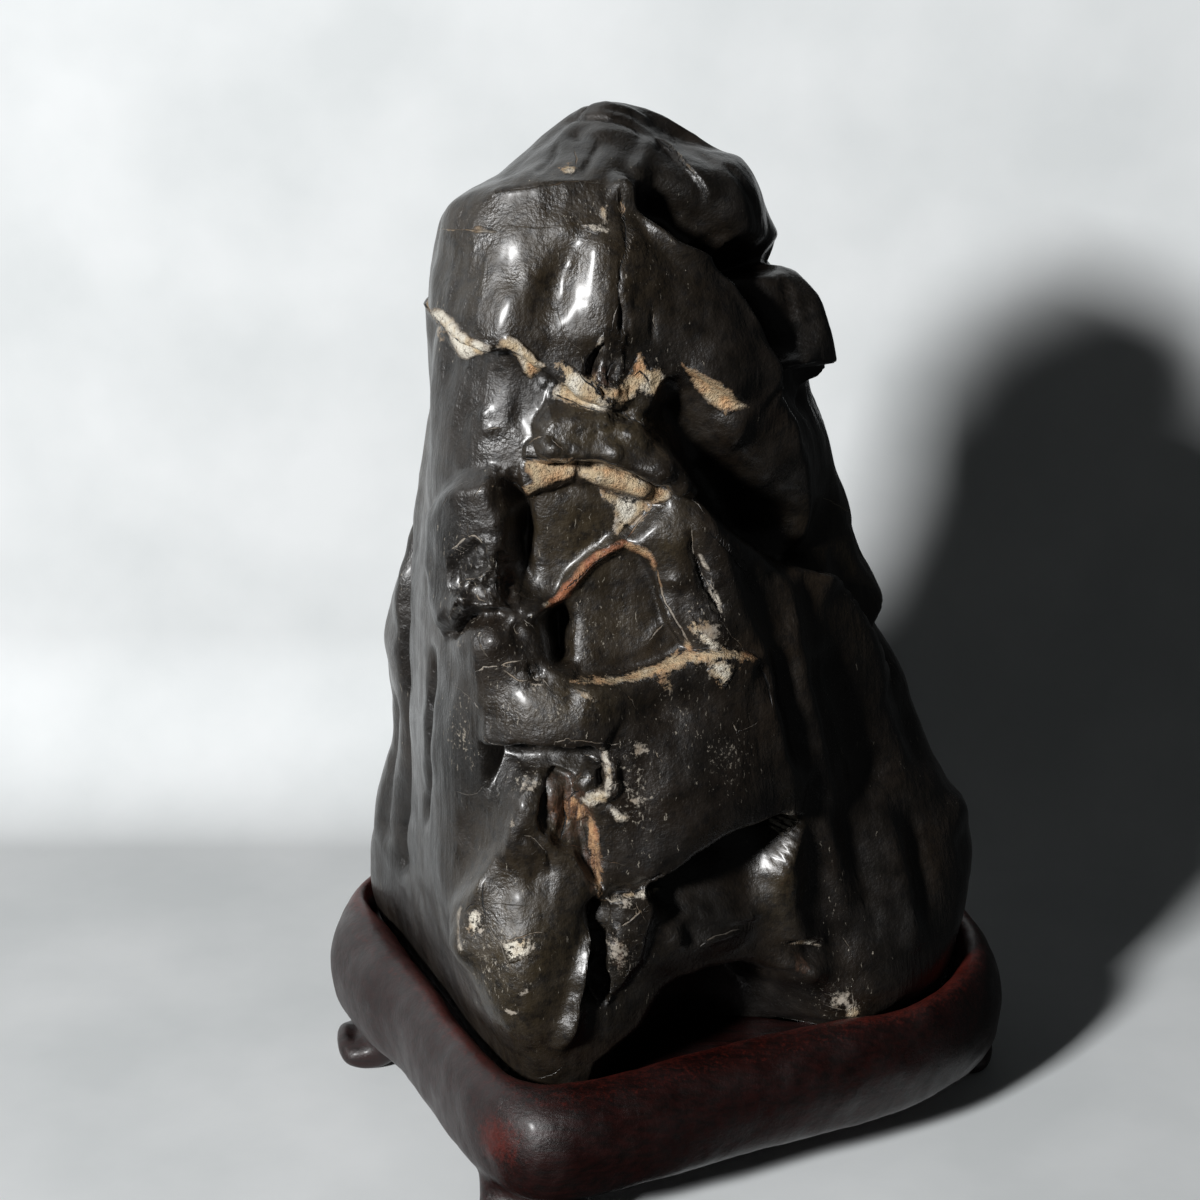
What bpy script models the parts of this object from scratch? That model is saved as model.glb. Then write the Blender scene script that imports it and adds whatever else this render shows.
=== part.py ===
"""A scholar's rock, cut flat underneath, seated in its carved hardwood stand.

The drawings below are in millimetres and the model is in metres, +Z up. The origin is on the floor,
under the middle of the stand, and -Y points to the side of the stone that is shown. Run it with
blender --background --python part.py, or from Blender's text editor.
"""

import math
from dataclasses import dataclass

import bmesh
import bpy
import numpy as np
from mathutils import Vector
from mathutils.bvhtree import BVHTree

MM = 0.001  # one millimetre of the drawings, in metres

# Driving heights, mm
STAND_HEIGHT = 38.0  # floor to the crest of the rim
RECESS_FLOOR = 28.0  # floor to the bottom of the recess
SEAT_GAP = 0.3  # between the stone's flat base and the recess
APRON_UNDERSIDE = 12.5  # floor to the lower edge of the apron
APEX = (-14.0, 4.0, 249.3)  # the stone's highest point

# The mesh of each piece
STONE_COLUMNS = 74
STONE_ROWS = 48
STAND_COLUMNS = 64
FOOT_COLUMNS = 12
FOOT_ROWS = 12
CAP_ROWS = 0.07  # share of the stone's rows that closes its flat base
SMOOTHINGS = 2  # passes that even out the stone's faces

# The line of sight of the front drawing: from the eye, through a point on an upright sheet
EYE = (-16.0, -616.6, 380.9)
SHEET_Y = -40.0
# The other drawings are seen straight on: from this far off, along one axis
FAR = 400.0

# Horizontal sections of the stone, lowest first. Each goes round from the nose of the front:
# nose, front middle, front right, main ridge, right flank, right edge, back right, back, back middle,
# back left, left edge, left hollow, left front edge, left front face.
LEVEL_SECTIONS = (
    (38.0, ((-32, -57), (-16, -55), (8, -42), (31, -33), (56, -25), (72, -2), (69, 32),
            (42, 58), (5, 68), (-38, 66), (-74, 37), (-66, 12), (-56, -12), (-45, -38))),
    (60.0, ((-35, -57), (-18, -54), (-8, -49), (30, -29), (54, -20), (74, 2), (68, 34),
            (40, 58), (2, 66), (-40, 62), (-73, 34), (-66, 8), (-58, -16), (-49, -40))),
    (90.0, ((-33, -52), (-14, -50), (8, -45), (26, -32), (46, -14), (64, 6), (59, 34),
            (36, 54), (0, 62), (-38, 58), (-66, 28), (-62, 2), (-57, -22), (-50, -40))),
    (120.0, ((-30, -48), (-10, -45), (8, -41), (20, -35), (38, -16), (53, 8), (49, 32),
             (30, 48), (-2, 55), (-38, 52), (-68, 21), (-62, 0), (-57, -22), (-48, -39))),
    (150.0, ((-27, -40), (-10, -38), (2, -36), (12, -32), (28, -14), (43, 8), (41, 28),
             (24, 42), (-4, 48), (-36, 44), (-60, 16), (-58, -2), (-55, -20), (-44, -36))),
    (175.0, ((-27, -38), (-12, -37), (4, -33), (24, -20), (32, -8), (37, 8), (35, 24),
             (20, 37), (-6, 42), (-34, 38), (-55, 14), (-55, -2), (-54, -18), (-44, -33))),
    (200.0, ((-25, -35), (-10, -34), (6, -31), (19, -24), (27, -10), (32, 6), (31, 20),
             (17, 31), (-8, 36), (-32, 32), (-53.5, 10), (-53.5, -4), (-52, -18), (-42, -31))),
    (218.0, ((-24, -32), (-10, -31), (2, -27), (9, -22), (17, -12), (23, 2), (25, 14),
             (14, 25), (-8, 30), (-30, 26), (-51.5, 6), (-51.5, -5), (-49.5, -17), (-40, -29))),
)
# Sloping sections of the summit, in the same order round: the shoulder, the slope above it and the ridge.
SUMMIT_SECTIONS = (
    ((-24, -23, 238), (-15, -23, 238), (-9, -21, 236), (3, -15, 236), (12, -8, 234), (20, 2, 229),
     (20, 13, 226), (10, 21, 230), (-8, 24, 232), (-28, 21, 228), (-47.5, 4, 227), (-48.5, -6, 229),
     (-47, -15, 232), (-38, -21, 236)),
    ((-22, -10, 243), (-15, -10, 244), (-9, -9, 243.5), (1, -7, 241), (9, -3, 239), (16, 3, 236),
     (15, 10, 234), (6, 15, 237), (-8, 17, 240), (-22, 15, 238), (-37.5, 4, 234), (-37.5, -3, 235.5),
     (-37, -8, 236), (-30, -11, 240)),
    ((-19, -2, 248), (-15, -2, 248.5), (-10, -1, 247.5), (-3, 0, 244.5), (4, 1, 241.5), (12, 4, 238.5),
     (9, 8, 238.5), (0, 9, 241.5), (-9, 10, 245), (-18, 9, 245.5), (-26.5, 4, 244.5), (-26, 1, 245),
     (-23.5, -1, 245.5), (-21.5, -2, 247)),
)
BASE_TAPER = 3.0  # how far the flat base draws in from the lowest section, mm

# The outline of the stand at its widest, seen from above, from the front corner round to the right
STAND_OUTLINE = (
    (-30, -77), (-8, -71), (20, -57), (45, -45), (66, -31), (80, -15), (85, 3), (80, 24),
    (71, 44), (55, 61), (32, 73), (4, 77), (-26, 76), (-52, 69), (-71, 54), (-81, 37),
    (-85.5, 19), (-79, 0), (-67, -18), (-57, -39), (-46, -62),
)
RECESS_CLEARANCE = 1.6  # between the stone and the rim, mm
# The stand's section from the middle of the recess out, over the rim and back underneath. Each point
# gives the share of the way out: 0 at the recess wall, 1 at the widest; below 0, the way from the middle
# to the wall. Then its height above the floor.
RIM_SECTION = (
    (-0.5, RECESS_FLOOR), (-0.02, RECESS_FLOOR), (0.0, 34.0), (0.14, 36.8), (0.38, STAND_HEIGHT),
    (0.66, 36.6), (0.88, 32.6), (1.0, 26.0), (0.98, 19.5), (0.9, 14.8), (0.7, APRON_UNDERSIDE),
    (0.3, 13.5), (-0.4, 15.0),
)

# The feet: where each leaves the apron, the side it faces, degrees round from the front to the right, and
# half its width where it leaves the apron, mm
FEET = (
    ("front", (-33.0, -68.0), -20.0, 14.0),
    ("right", (76.0, 10.0), 90.0, 11.0),
    ("back", (34.0, 65.0), 156.0, 13.0),
    ("left", (-75.0, 13.0), -86.0, 11.0),
)
# A foot's centre line, from inside the apron to the curled toe: out from the apron, up from the floor,
# then its width as a share of its width at the apron, and half its depth there, mm
FOOT_PATH = (
    (-7.0, 22.0, 1.0, 7.0), (-6.5, 15.0, 1.0, 6.5), (-5.5, 10.0, 0.96, 6.0),
    (-3.5, 5.6, 0.92, 5.4), (-0.5, 3.2, 0.88, 5.0), (3.0, 2.8, 0.85, 4.6),
    (6.0, 4.4, 0.78, 3.8), (7.4, 7.6, 0.69, 2.4),
)


@dataclass(frozen=True)
class Stroke:
    """A ridge along a path, or a groove where its height is below zero."""

    name: str
    path: tuple
    height: float
    width: float
    fade: float = 8.0
    side: str = "front"


@dataclass(frozen=True)
class Ledge:
    """A step along a path: the stone stands out above the path and draws back below it."""

    name: str
    path: tuple
    above: float
    below: float
    lip: float
    reach_up: float
    reach_down: float
    fade: float = 8.0
    side: str = "front"


@dataclass(frozen=True)
class Swell:
    """A round boss, or a hollow where its height is below zero."""

    name: str
    centre: tuple
    across: float
    along: float
    height: float
    side: str = "front"


@dataclass(frozen=True)
class Panel:
    """An outlined part of the shown side that stands out or is sunk, or is cut straight in."""

    name: str
    outline: tuple
    height: float
    edge: float
    straight_in: bool = False


# Points of the front drawing: millimetres across from the origin and up from the floor, on the sheet.
# On the back, left and right drawings the first number is the place along X or Y.
STONE_FORMS = (
    Stroke(
        "hollow under the top block",
        ((-9, 243), (-4, 239), (1, 233), (6, 229), (13, 227), (20, 226)),
        -6, 4.5,
    ),
    Swell("top block", (12, 239), 9, 11, 3),
    Stroke(
        "edge of the upper face",
        ((-10, 241), (-7, 235), (-2, 230), (8, 225), (13, 219), (16, 210)),
        2, 4,
    ),
    Stroke("gully", ((9, 227), (14, 223), (17, 217), (21, 210), (25, 205)), -7, 4.5),
    Swell("hanging lump", (25, 214), 8, 14, 4),
    Ledge("foot of the hanging lump", ((18, 206), (24, 202), (31, 202)), 2.5, -4, 1.5, 8, 12),
    Stroke("left rib of the upper face", ((-29, 233), (-32, 226), (-34, 217), (-35, 211)), 2.5, 5),
    Stroke("valley of the upper face", ((-26, 230), (-27, 221), (-29, 212)), -1.5, 3.5),
    Stroke("right rib of the upper face", ((-19, 232), (-19, 223), (-20, 215), (-18, 208)), 2, 5),
    Ledge(
        "upper vein ledge",
        (
            (-53, 216), (-50, 213), (-47, 209), (-43, 206), (-35, 208), (-32, 207), (-25, 200),
            (-14, 193), (-7, 195),
        ),
        2.8, -2.8, 1.6, 14, 13,
    ),
    Ledge("short vein ledge", ((1, 203), (6, 201), (11, 197), (16, 193)), 1.5, -3, 1.2, 10, 9),
    Stroke("rib under the short vein", ((11, 191), (13, 185), (15, 179)), 3, 4),
    Stroke("channel", ((-6, 195), (-1, 190), (6, 183), (12, 175), (20, 167), (28, 159)), -8, 8),
    Panel(
        "arch boss",
        (
            (-28, 191), (-22, 194), (-16, 193), (-7, 189), (-1, 184), (4, 179), (6, 173), (1, 173),
            (-5, 178), (-14, 181), (-25, 181), (-30, 183), (-31, 187),
        ),
        5, 5,
    ),
    Ledge(
        "lip of the arch boss",
        ((-32, 181), (-25, 181), (-16, 181), (-7, 178), (0, 174), (4, 171)),
        1.5, -3, 1, 6, 7,
    ),
    Ledge(
        "shoulder of the lower mass",
        ((4, 173), (10, 167), (16, 162), (23, 158), (28, 155), (35, 152)),
        -4, 2, 4, 14, 9,
    ),
    Stroke(
        "ridge of the lower mass",
        ((4, 173), (7, 162), (12, 150), (16, 138), (19, 133), (24, 111), (27, 99)),
        2, 4,
    ),
    Stroke("flute beside the ridge", ((22, 138), (26, 124), (30, 106)), -2, 4),
    Stroke("second ridge", ((16, 157), (24, 138), (31, 114), (38, 94)), 2, 4),
    Stroke("valley of the right flank", ((33, 138), (41, 119), (48, 99)), -3, 7),
    Panel(
        "upper left lump",
        (
            (-52, 167), (-49, 173), (-44, 176), (-39, 178), (-35, 176), (-33, 171), (-32, 162),
            (-32, 153), (-34, 148), (-38, 147), (-45, 147), (-49, 146), (-51, 155),
        ),
        4, 6,
    ),
    Stroke(
        "cleft",
        ((-38, 178), (-33, 173), (-32, 165), (-31, 154), (-30, 146), (-29, 137), (-29, 131)),
        -5, 3.2,
    ),
    Swell("lower left lump", (-39, 137), 10, 11, 4),
    Stroke("crease between the lumps", ((-49, 147), (-43, 148), (-38, 146), (-33, 145)), -2, 2.6),
    Swell("knob", (-31, 145), 4, 4, 3),
    Panel(
        "upper face of the recess",
        (
            (-32, 174), (-25, 176), (-16, 175), (-7, 172), (-3, 170), (-8, 165), (-16, 157),
            (-25, 148), (-28, 147), (-31, 157),
        ),
        -4.5, 4,
    ),
    Panel(
        "lower face of the recess",
        (
            (-10, 160), (-5, 158), (-3, 154), (-1, 146), (4, 136), (-5, 132), (-16, 129), (-25, 129),
            (-28, 136), (-27, 146), (-18, 154),
        ),
        -6.5, 3,
    ),
    Swell("pocket", (-25, 138), 7, 14, -6),
    Stroke("rib right of the recess", ((-2, 169), (2, 157), (6, 146), (12, 136)), 2, 5),
    Swell("boss", (-28, 124), 16, 11, 3),
    Ledge(
        "ledge under the boss",
        ((-44, 113), (-39, 112), (-27, 113), (-18, 113), (-15, 112)),
        1.2, -4, 0.9, 7, 11, 4,
    ),
    Stroke("upright edge", ((-15, 112), (-15, 107), (-15, 101), (-16, 97)), 2, 3, 3),
    Swell("middle mass", (2, 106), 20, 22, 4),
    Ledge(
        "overhang",
        ((-6, 75), (-2, 78), (7, 86), (16, 92), (26, 96), (30, 95)),
        2.5, -12, 1.8, 14, 13, 4,
    ),
    Swell("hollow under the overhang", (12, 80), 11, 8, -5),
    Swell("shelf", (7, 64), 15, 8, 3.5),
    Stroke("right pillar", ((26, 93), (27, 81), (29, 68), (35, 46)), 4, 7),
    Swell("lower left lobe", (-38, 56), 20, 24, 3.5),
    Stroke("edge of the lobe", ((-17, 72), (-18, 60), (-22, 44), (-26, 29)), 2, 3),
    Stroke(
        "rib above the lobe",
        ((-33, 107), (-32, 101), (-35, 95), (-39, 88), (-43, 81), (-46, 74)),
        3, 3.5,
    ),
    Swell("dip left of the rib", (-46, 94), 9, 17, -2),
    Stroke("crevice", ((-17, 75), (-16, 65), (-16, 54), (-15, 43)), -5, 2.4, 6),
    Stroke("left flute", ((-56, 179), (-58, 167), (-59, 148), (-59, 124), (-61, 99), (-63, 78)), -3, 3),
    Stroke("short left flute", ((-53, 138), (-54, 124), (-55, 109), (-56, 91)), -1.5, 2),
    Stroke("outer left flute", ((-62, 126), (-63, 109), (-66, 86)), -1.5, 3),
    Stroke("upper right rib", ((18, 209), (22, 201), (26, 186), (29, 172), (32, 156)), 2.5, 3.5),
    Stroke("right edge bulge", ((63, 102), (67, 88)), 2, 8),
    Panel(
        "cave",
        (
            (-17, 19), (-15, 28), (-7, 35), (-1, 45), (5, 51), (17, 54), (29, 52), (34, 46),
            (39, 39), (46, 37), (46, 19),
        ),
        -20, 3.5, True,
    ),
    Panel(
        "gap over the right rim",
        ((43, 38), (55, 43), (69, 53), (76, 46), (56, 24), (44, 24)),
        -5, 3, True,
    ),
    Ledge(
        "upper back ledge",
        ((28, 182), (12, 192), (-5, 188), (-25, 197), (-42, 190)),
        2.5, -3, 2, 12, 14, 8, "back",
    ),
    Stroke(
        "back valley",
        ((-20, 225), (-24, 195), (-18, 160), (-26, 120), (-22, 80)),
        -4.5, 8, 12, "back",
    ),
    Stroke("back rib", ((8, 215), (10, 180), (16, 140), (14, 95), (24, 55)), 4, 9, 12, "back"),
    Swell("back boss", (-44, 112), 14, 20, 5, "back"),
    Swell("back hollow", (38, 92), 12, 18, -5, "back"),
    Swell("middle back boss", (0, 150), 12, 10, 3.5, "back"),
    Ledge(
        "lower back ledge",
        ((58, 68), (34, 62), (10, 72), (-12, 66), (-40, 76), (-62, 70)),
        3, -4, 2.4, 14, 12, 8, "back",
    ),
    Stroke("short back groove", ((-5, 120), (1, 100), (-4, 78)), -3, 4.5, 8, "back"),
    Stroke("front groove of the right side", ((-2, 162), (4, 120), (2, 82)), -2.5, 5, 12, "right"),
    Stroke("middle groove of the right side", ((20, 172), (28, 120), (24, 70)), -3.5, 6, 12, "right"),
    Stroke("back groove of the right side", ((36, 125), (45, 85), (42, 52)), -3, 5, 12, "right"),
    Ledge(
        "right side ledge",
        ((4, 120), (18, 126), (34, 114), (46, 118)),
        2, -3, 2.2, 10, 12, 8, "right",
    ),
    Swell("right side boss", (14, 62), 10, 14, 3, "right"),
    Stroke("upper groove of the left side", ((14, 205), (16, 155), (12, 112)), -2.5, 5, 12, "left"),
    Stroke(
        "back groove of the left side",
        ((28, 195), (35, 150), (41, 100), (46, 60)),
        -3.5, 6, 12, "left",
    ),
    Ledge("left side ledge", ((38, 134), (26, 142), (12, 137)), 2, -3, 2.2, 10, 12, 8, "left"),
    Swell("left side boss", (32, 108), 9, 16, 3, "left"),
)

STONE_COLOUR = (0.018, 0.014, 0.011, 1.0)
STONE_ROUGHNESS = 0.3
STAND_COLOUR = (0.045, 0.012, 0.009, 1.0)
STAND_ROUGHNESS = 0.38


def smooth_step(value):
    """A soft step from 0 at 0 to 1 at 1."""
    value = np.clip(value, 0.0, 1.0)
    return value * value * (3.0 - 2.0 * value)


def round_curve(points, turns):
    """The closed smooth curve through the points, read at each turn (0 to 1)."""
    points = np.asarray(points, float)
    count = len(points)
    place = np.asarray(turns) * count
    first = np.floor(place).astype(int)
    part = (place - first)[:, None]
    before, start, end, after = (points[(first + step) % count] for step in (-1, 0, 1, 2))
    return 0.5 * (
        2 * start
        + (end - before) * part
        + (2 * before - 5 * start + 4 * end - after) * part**2
        + (3 * start - before - 3 * end + after) * part**3
    )


def open_curve(points, step=4.0):
    """Points about a step apart on the smooth curve through the given points."""
    if len(points) < 3:
        return points
    ends = np.concatenate([[2 * points[0] - points[1]], points, [2 * points[-1] - points[-2]]])
    found = []
    for before, start, end, after in zip(ends, ends[1:], ends[2:], ends[3:]):
        pieces = max(1, int(np.linalg.norm(end - start) / step))
        for part in np.arange(pieces) / pieces:
            found.append(
                0.5
                * (
                    2 * start
                    + (end - before) * part
                    + (2 * before - 5 * start + 4 * end - after) * part**2
                    + (3 * start - before - 3 * end + after) * part**3
                )
            )
    found.append(points[-1])
    return np.array(found)


def stone_sections():
    """Every section of the stone, lowest first, as one array of points in millimetres."""
    lowest = np.array([(x, y, RECESS_FLOOR + SEAT_GAP) for x, y in LEVEL_SECTIONS[0][1]], float)
    middle = lowest.mean(axis=0)
    outward = lowest - middle
    lowest -= BASE_TAPER * outward / np.linalg.norm(outward, axis=1, keepdims=True)
    sections = [lowest]
    sections += [[(x, y, height) for x, y in outline] for height, outline in LEVEL_SECTIONS]
    sections += SUMMIT_SECTIONS
    sections.append([APEX] * len(lowest))
    return np.array([np.asarray(section, float) for section in sections])


def loft(sections, turns, rises):
    """Points on the smooth skin over the sections, at each turn and each rise (both 0 to 1)."""
    rings = np.array([round_curve(section, turns) for section in sections])
    spans = np.linalg.norm(np.diff(sections, axis=0), axis=2).mean(axis=1)
    knots = np.concatenate([[0.0], np.cumsum(spans)]) / spans.sum()
    gaps = np.diff(knots)
    slopes = np.diff(rings, axis=0) / gaps[:, None, None]
    tangents = np.empty_like(rings)
    tangents[0] = slopes[0]
    tangents[-1] = slopes[-1]
    weights = (gaps[1:, None, None], gaps[:-1, None, None])
    tangents[1:-1] = (slopes[:-1] * weights[0] + slopes[1:] * weights[1]) / (weights[0] + weights[1])
    below = np.clip(np.searchsorted(knots, rises, side="right") - 1, 0, len(gaps) - 1)
    column = np.arange(len(turns))
    gap = gaps[below][:, None]
    part = ((rises - knots[below]) / gaps[below])[:, None]
    return (
        (2 * part**3 - 3 * part**2 + 1) * rings[below, column]
        + (part**3 - 2 * part**2 + part) * gap * tangents[below, column]
        + (3 * part**2 - 2 * part**3) * rings[below + 1, column]
        + (part**3 - part**2) * gap * tangents[below + 1, column]
    )


def sphere_grid(bm, columns, rows):
    """A sphere of rings in bm, with each vertex's turn round it and its rise from the bottom pole."""
    bmesh.ops.create_uvsphere(bm, u_segments=columns, v_segments=rows, radius=1.0)
    places = np.array([vertex.co[:] for vertex in bm.verts])
    turns = np.arctan2(places[:, 0], -places[:, 1]) / (2 * math.pi) % 1.0
    rises = np.arccos(np.clip(-places[:, 2], -1.0, 1.0)) / math.pi
    return np.round(turns * columns) / columns % 1.0, rises


def place_vertices(bm, points):
    """Moves the vertices of bm to the points and returns their normals."""
    for vertex, point in zip(bm.verts, points.tolist()):
        vertex.co = point
    bm.normal_update()
    return np.array([vertex.normal[:] for vertex in bm.verts])


def line_of_sight(side, point):
    """Where the eye of a side's drawing is for a point of it, and the direction in which it looks."""
    if side == "front":
        eye = Vector(EYE)
        return eye, (Vector((point[0], SHEET_Y, point[1])) - eye).normalized()
    if side == "back":
        return Vector((point[0], FAR, point[1])), Vector((0.0, -1.0, 0.0))
    inward = 1.0 if side == "left" else -1.0
    return Vector((-inward * FAR, point[0], point[1])), Vector((inward, 0.0, 0.0))


def carry_to_stone(tree, side, point):
    """The place on the stone that a point of a side's drawing shows."""
    eye, sight = line_of_sight(side, point)
    hit = tree.ray_cast(eye, sight)[0]
    if hit is not None:
        return hit
    beside = [tree.find_nearest(eye + sight * reach) for reach in range(300, 760, 4)]
    return min(beside, key=lambda found: found[3])[0]


def distances(points, path):
    """Each point's distance to the path, how far along it lies, the path's length, the nearest place on
    the path and the path's heading there."""
    nearest = np.full(len(points), np.inf)
    travelled = np.zeros(len(points))
    feet = np.zeros_like(points)
    headings = np.zeros_like(points)
    start_length = 0.0
    for start, end in zip(path, path[1:]):
        length = np.linalg.norm(end - start)
        heading = (end - start) / length
        ahead = np.clip((points - start) @ heading, 0.0, length)
        foot = start + ahead[:, None] * heading
        distance = np.linalg.norm(points - foot, axis=1)
        closer = distance < nearest
        nearest[closer] = distance[closer]
        travelled[closer] = start_length + ahead[closer]
        feet[closer] = foot[closer]
        headings[closer] = heading
        start_length += length
    return nearest, travelled, start_length, feet, headings


def fade_at_ends(travelled, length, fade):
    """1 along the middle of a path, falling to 0 at both ends."""
    fade = min(fade, length / 2)
    return smooth_step(travelled / fade) * smooth_step((length - travelled) / fade)


def stroke_heights(stroke, points, path):
    """How far a stroke lifts each point."""
    nearest, travelled, length, _, _ = distances(points, path)
    faded = fade_at_ends(travelled, length, stroke.fade)
    return stroke.height * np.exp(-((nearest / stroke.width) ** 2)) * faded


def ledge_heights(ledge, points, normals, path):
    """How far a ledge lifts each point: the side below the path is the one to its right."""
    nearest, travelled, length, feet, headings = distances(points, path)
    is_below = np.einsum("ij,ij->i", np.cross(points - feet, headings), normals) >= 0
    signed = np.where(is_below, nearest, -nearest)
    share = smooth_step(signed / ledge.lip / 2 + 0.5)
    high = ledge.above * np.exp(-((np.clip(-signed, 0, None) / ledge.reach_up) ** 2))
    low = ledge.below * np.exp(-((np.clip(signed, 0, None) / ledge.reach_down) ** 2))
    return (high * (1 - share) + low * share) * fade_at_ends(travelled, length, ledge.fade)


def swell_heights(swell, points, normals, centre):
    """How far a swell lifts each point."""
    normal = normals[np.argmin(((points - centre) ** 2).sum(axis=1))]
    sideways = np.cross((0.0, 0.0, 1.0), normal)
    sideways /= np.linalg.norm(sideways)
    upward = np.cross(normal, sideways)
    offset = points - centre
    depth = 1.6 * max(swell.across, swell.along)
    square = (offset @ sideways / swell.across) ** 2 + (offset @ upward / swell.along) ** 2
    return swell.height * np.exp(-square - (offset @ normal / depth) ** 2)


def panel_heights(panel, points, normals):
    """How far a panel lifts each point that the front drawing shows."""
    eye = np.array(EYE)
    sight = points - eye
    scale = (SHEET_Y - eye[1]) / sight[:, 1]
    drawn = np.stack([eye[0] + sight[:, 0] * scale, eye[2] + sight[:, 2] * scale], axis=1)
    outline = np.array(panel.outline, float)
    nearest = np.full(len(points), np.inf)
    inside = np.zeros(len(points), bool)
    for start, end in zip(outline, np.roll(outline, -1, axis=0)):
        edge = end - start
        ahead = np.clip((drawn - start) @ edge / (edge @ edge), 0.0, 1.0)
        nearest = np.minimum(nearest, np.linalg.norm(drawn - start - ahead[:, None] * edge, axis=1))
        if start[1] != end[1]:
            spans = (start[1] > drawn[:, 1]) != (end[1] > drawn[:, 1])
            crossing = edge[0] * (drawn[:, 1] - start[1]) / edge[1] + start[0]
            inside ^= spans & (drawn[:, 0] < crossing)
    signed = np.where(inside, nearest, -nearest)
    facing = -(normals * sight).sum(axis=1) / np.linalg.norm(sight, axis=1)
    return panel.height * smooth_step(signed / panel.edge / 2 + 0.5) * smooth_step(facing / 0.15)


def form_offsets(bm, points, normals):
    """How far the stone's forms move each point along its normal, and how far straight in."""
    tree = BVHTree.FromBMesh(bm)
    lift = np.zeros(len(points))
    push = np.zeros(len(points))
    for form in STONE_FORMS:
        if isinstance(form, Panel):
            heights = panel_heights(form, points, normals)
            if form.straight_in:
                push += heights
            else:
                lift += heights
        elif isinstance(form, Swell):
            centre = np.array(carry_to_stone(tree, form.side, form.centre))
            lift += swell_heights(form, points, normals, centre)
        else:
            corners = [carry_to_stone(tree, form.side, point)[:] for point in form.path]
            path = open_curve(np.array(corners))
            if isinstance(form, Stroke):
                lift += stroke_heights(form, points, path)
            else:
                lift += ledge_heights(form, points, normals, path)
    return lift, push


def undulation(points):
    """The stone's gentle natural waves, in millimetres."""
    x, y, z = points.T
    broad = np.sin(x / 7.1 + z / 23.0) * np.sin(y / 8.3 - z / 31.0 + 1.3)
    flutes = np.sin(x / 3.1 - y / 4.3 + np.sin(z / 29.0)) * np.cos(z / 37.0 + y / 11.0)
    return 0.7 * broad + 0.45 * flutes


def make_stone():
    """The stone: a loft over its sections, then its ledges, ribs, lumps, hollows and cave."""
    bm = bmesh.new()
    turns, rises = sphere_grid(bm, STONE_COLUMNS, STONE_ROWS)
    sections = stone_sections()
    upward = np.clip((rises - CAP_ROWS) / (1 - CAP_ROWS), 0.0, 1.0)
    points = loft(sections, turns, upward)
    normals = place_vertices(bm, points)
    lift, push = form_offsets(bm, points, normals)
    seated = smooth_step((points[:, 2] - STAND_HEIGHT) / 12.0)
    lift = lift * np.maximum(seated, lift < 0) + undulation(points) * seated
    outward = points[:, :2] - sections[0][:, :2].mean(axis=0)
    outward /= np.maximum(np.linalg.norm(outward, axis=1, keepdims=True), 1.0)
    shaped = points + normals * lift[:, None]
    shaped[:, :2] += outward * push[:, None]
    place_vertices(bm, shaped)
    every_axis = {"use_axis_x": True, "use_axis_y": True, "use_axis_z": True}
    for _ in range(SMOOTHINGS):
        bmesh.ops.smooth_vert(bm, verts=bm.verts, factor=0.5, **every_axis)
    shaped = np.array([vertex.co[:] for vertex in bm.verts])
    flatten_base(shaped, turns, rises, upward)
    place_vertices(bm, shaped * MM)
    return finished_object(bm, "stone", STONE_COLOUR, STONE_ROUGHNESS)


def flatten_base(points, turns, rises, upward):
    """Keeps the lowest ring level and closes it with a flat base."""
    level = RECESS_FLOOR + SEAT_GAP
    points[:, 2] = np.maximum(points[:, 2], level)
    rim_rise = rises[upward == 0.0].max()
    on_rim = rises == rim_rise
    rim = {round(turn, 6): point for turn, point in zip(turns[on_rim], points[on_rim])}
    middle = np.mean(list(rim.values()), axis=0)
    for index in np.flatnonzero(upward == 0.0):
        edge = rim.get(round(turns[index], 6), middle)
        points[index] = middle + (edge - middle) * rises[index] / rim_rise
        points[index, 2] = level


def foot_object(name, place, facing, half_width):
    """One scrolled foot: it leaves the apron, tucks in, then curls out at the toe and up."""
    bm = bmesh.new()
    turns, rises = sphere_grid(bm, FOOT_COLUMNS, FOOT_ROWS)
    path = np.array(FOOT_PATH)
    tangents = np.gradient(path[:, :2], axis=0)
    tangents /= np.linalg.norm(tangents, axis=1, keepdims=True)
    at = rises * (len(path) - 1)
    steps = np.arange(len(path))
    out, up, share, depth = (np.interp(at, steps, path[:, column]) for column in range(4))
    lean_out, lean_up = (np.interp(at, steps, tangents[:, column]) for column in range(2))
    open_share = np.minimum(1.0, np.sin(rises * math.pi) * 2.2) ** 0.5
    angle = turns * 2 * math.pi
    side = half_width * share * open_share * np.sign(np.sin(angle)) * np.abs(np.sin(angle)) ** 0.8
    across = depth * open_share * np.sign(np.cos(angle)) * np.abs(np.cos(angle)) ** 0.8
    out = out + lean_up * across
    up = np.maximum(up - lean_out * across, 0.0)
    turn = math.radians(facing)
    outward = np.array((math.sin(turn), -math.cos(turn)))
    sideways = np.array((math.cos(turn), math.sin(turn)))
    plan = np.array(place) + out[:, None] * outward + side[:, None] * sideways
    place_vertices(bm, np.column_stack([plan, up]) * MM)
    bmesh.ops.recalc_face_normals(bm, faces=bm.faces)
    return finished_object(bm, name, STAND_COLOUR, STAND_ROUGHNESS)


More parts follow.
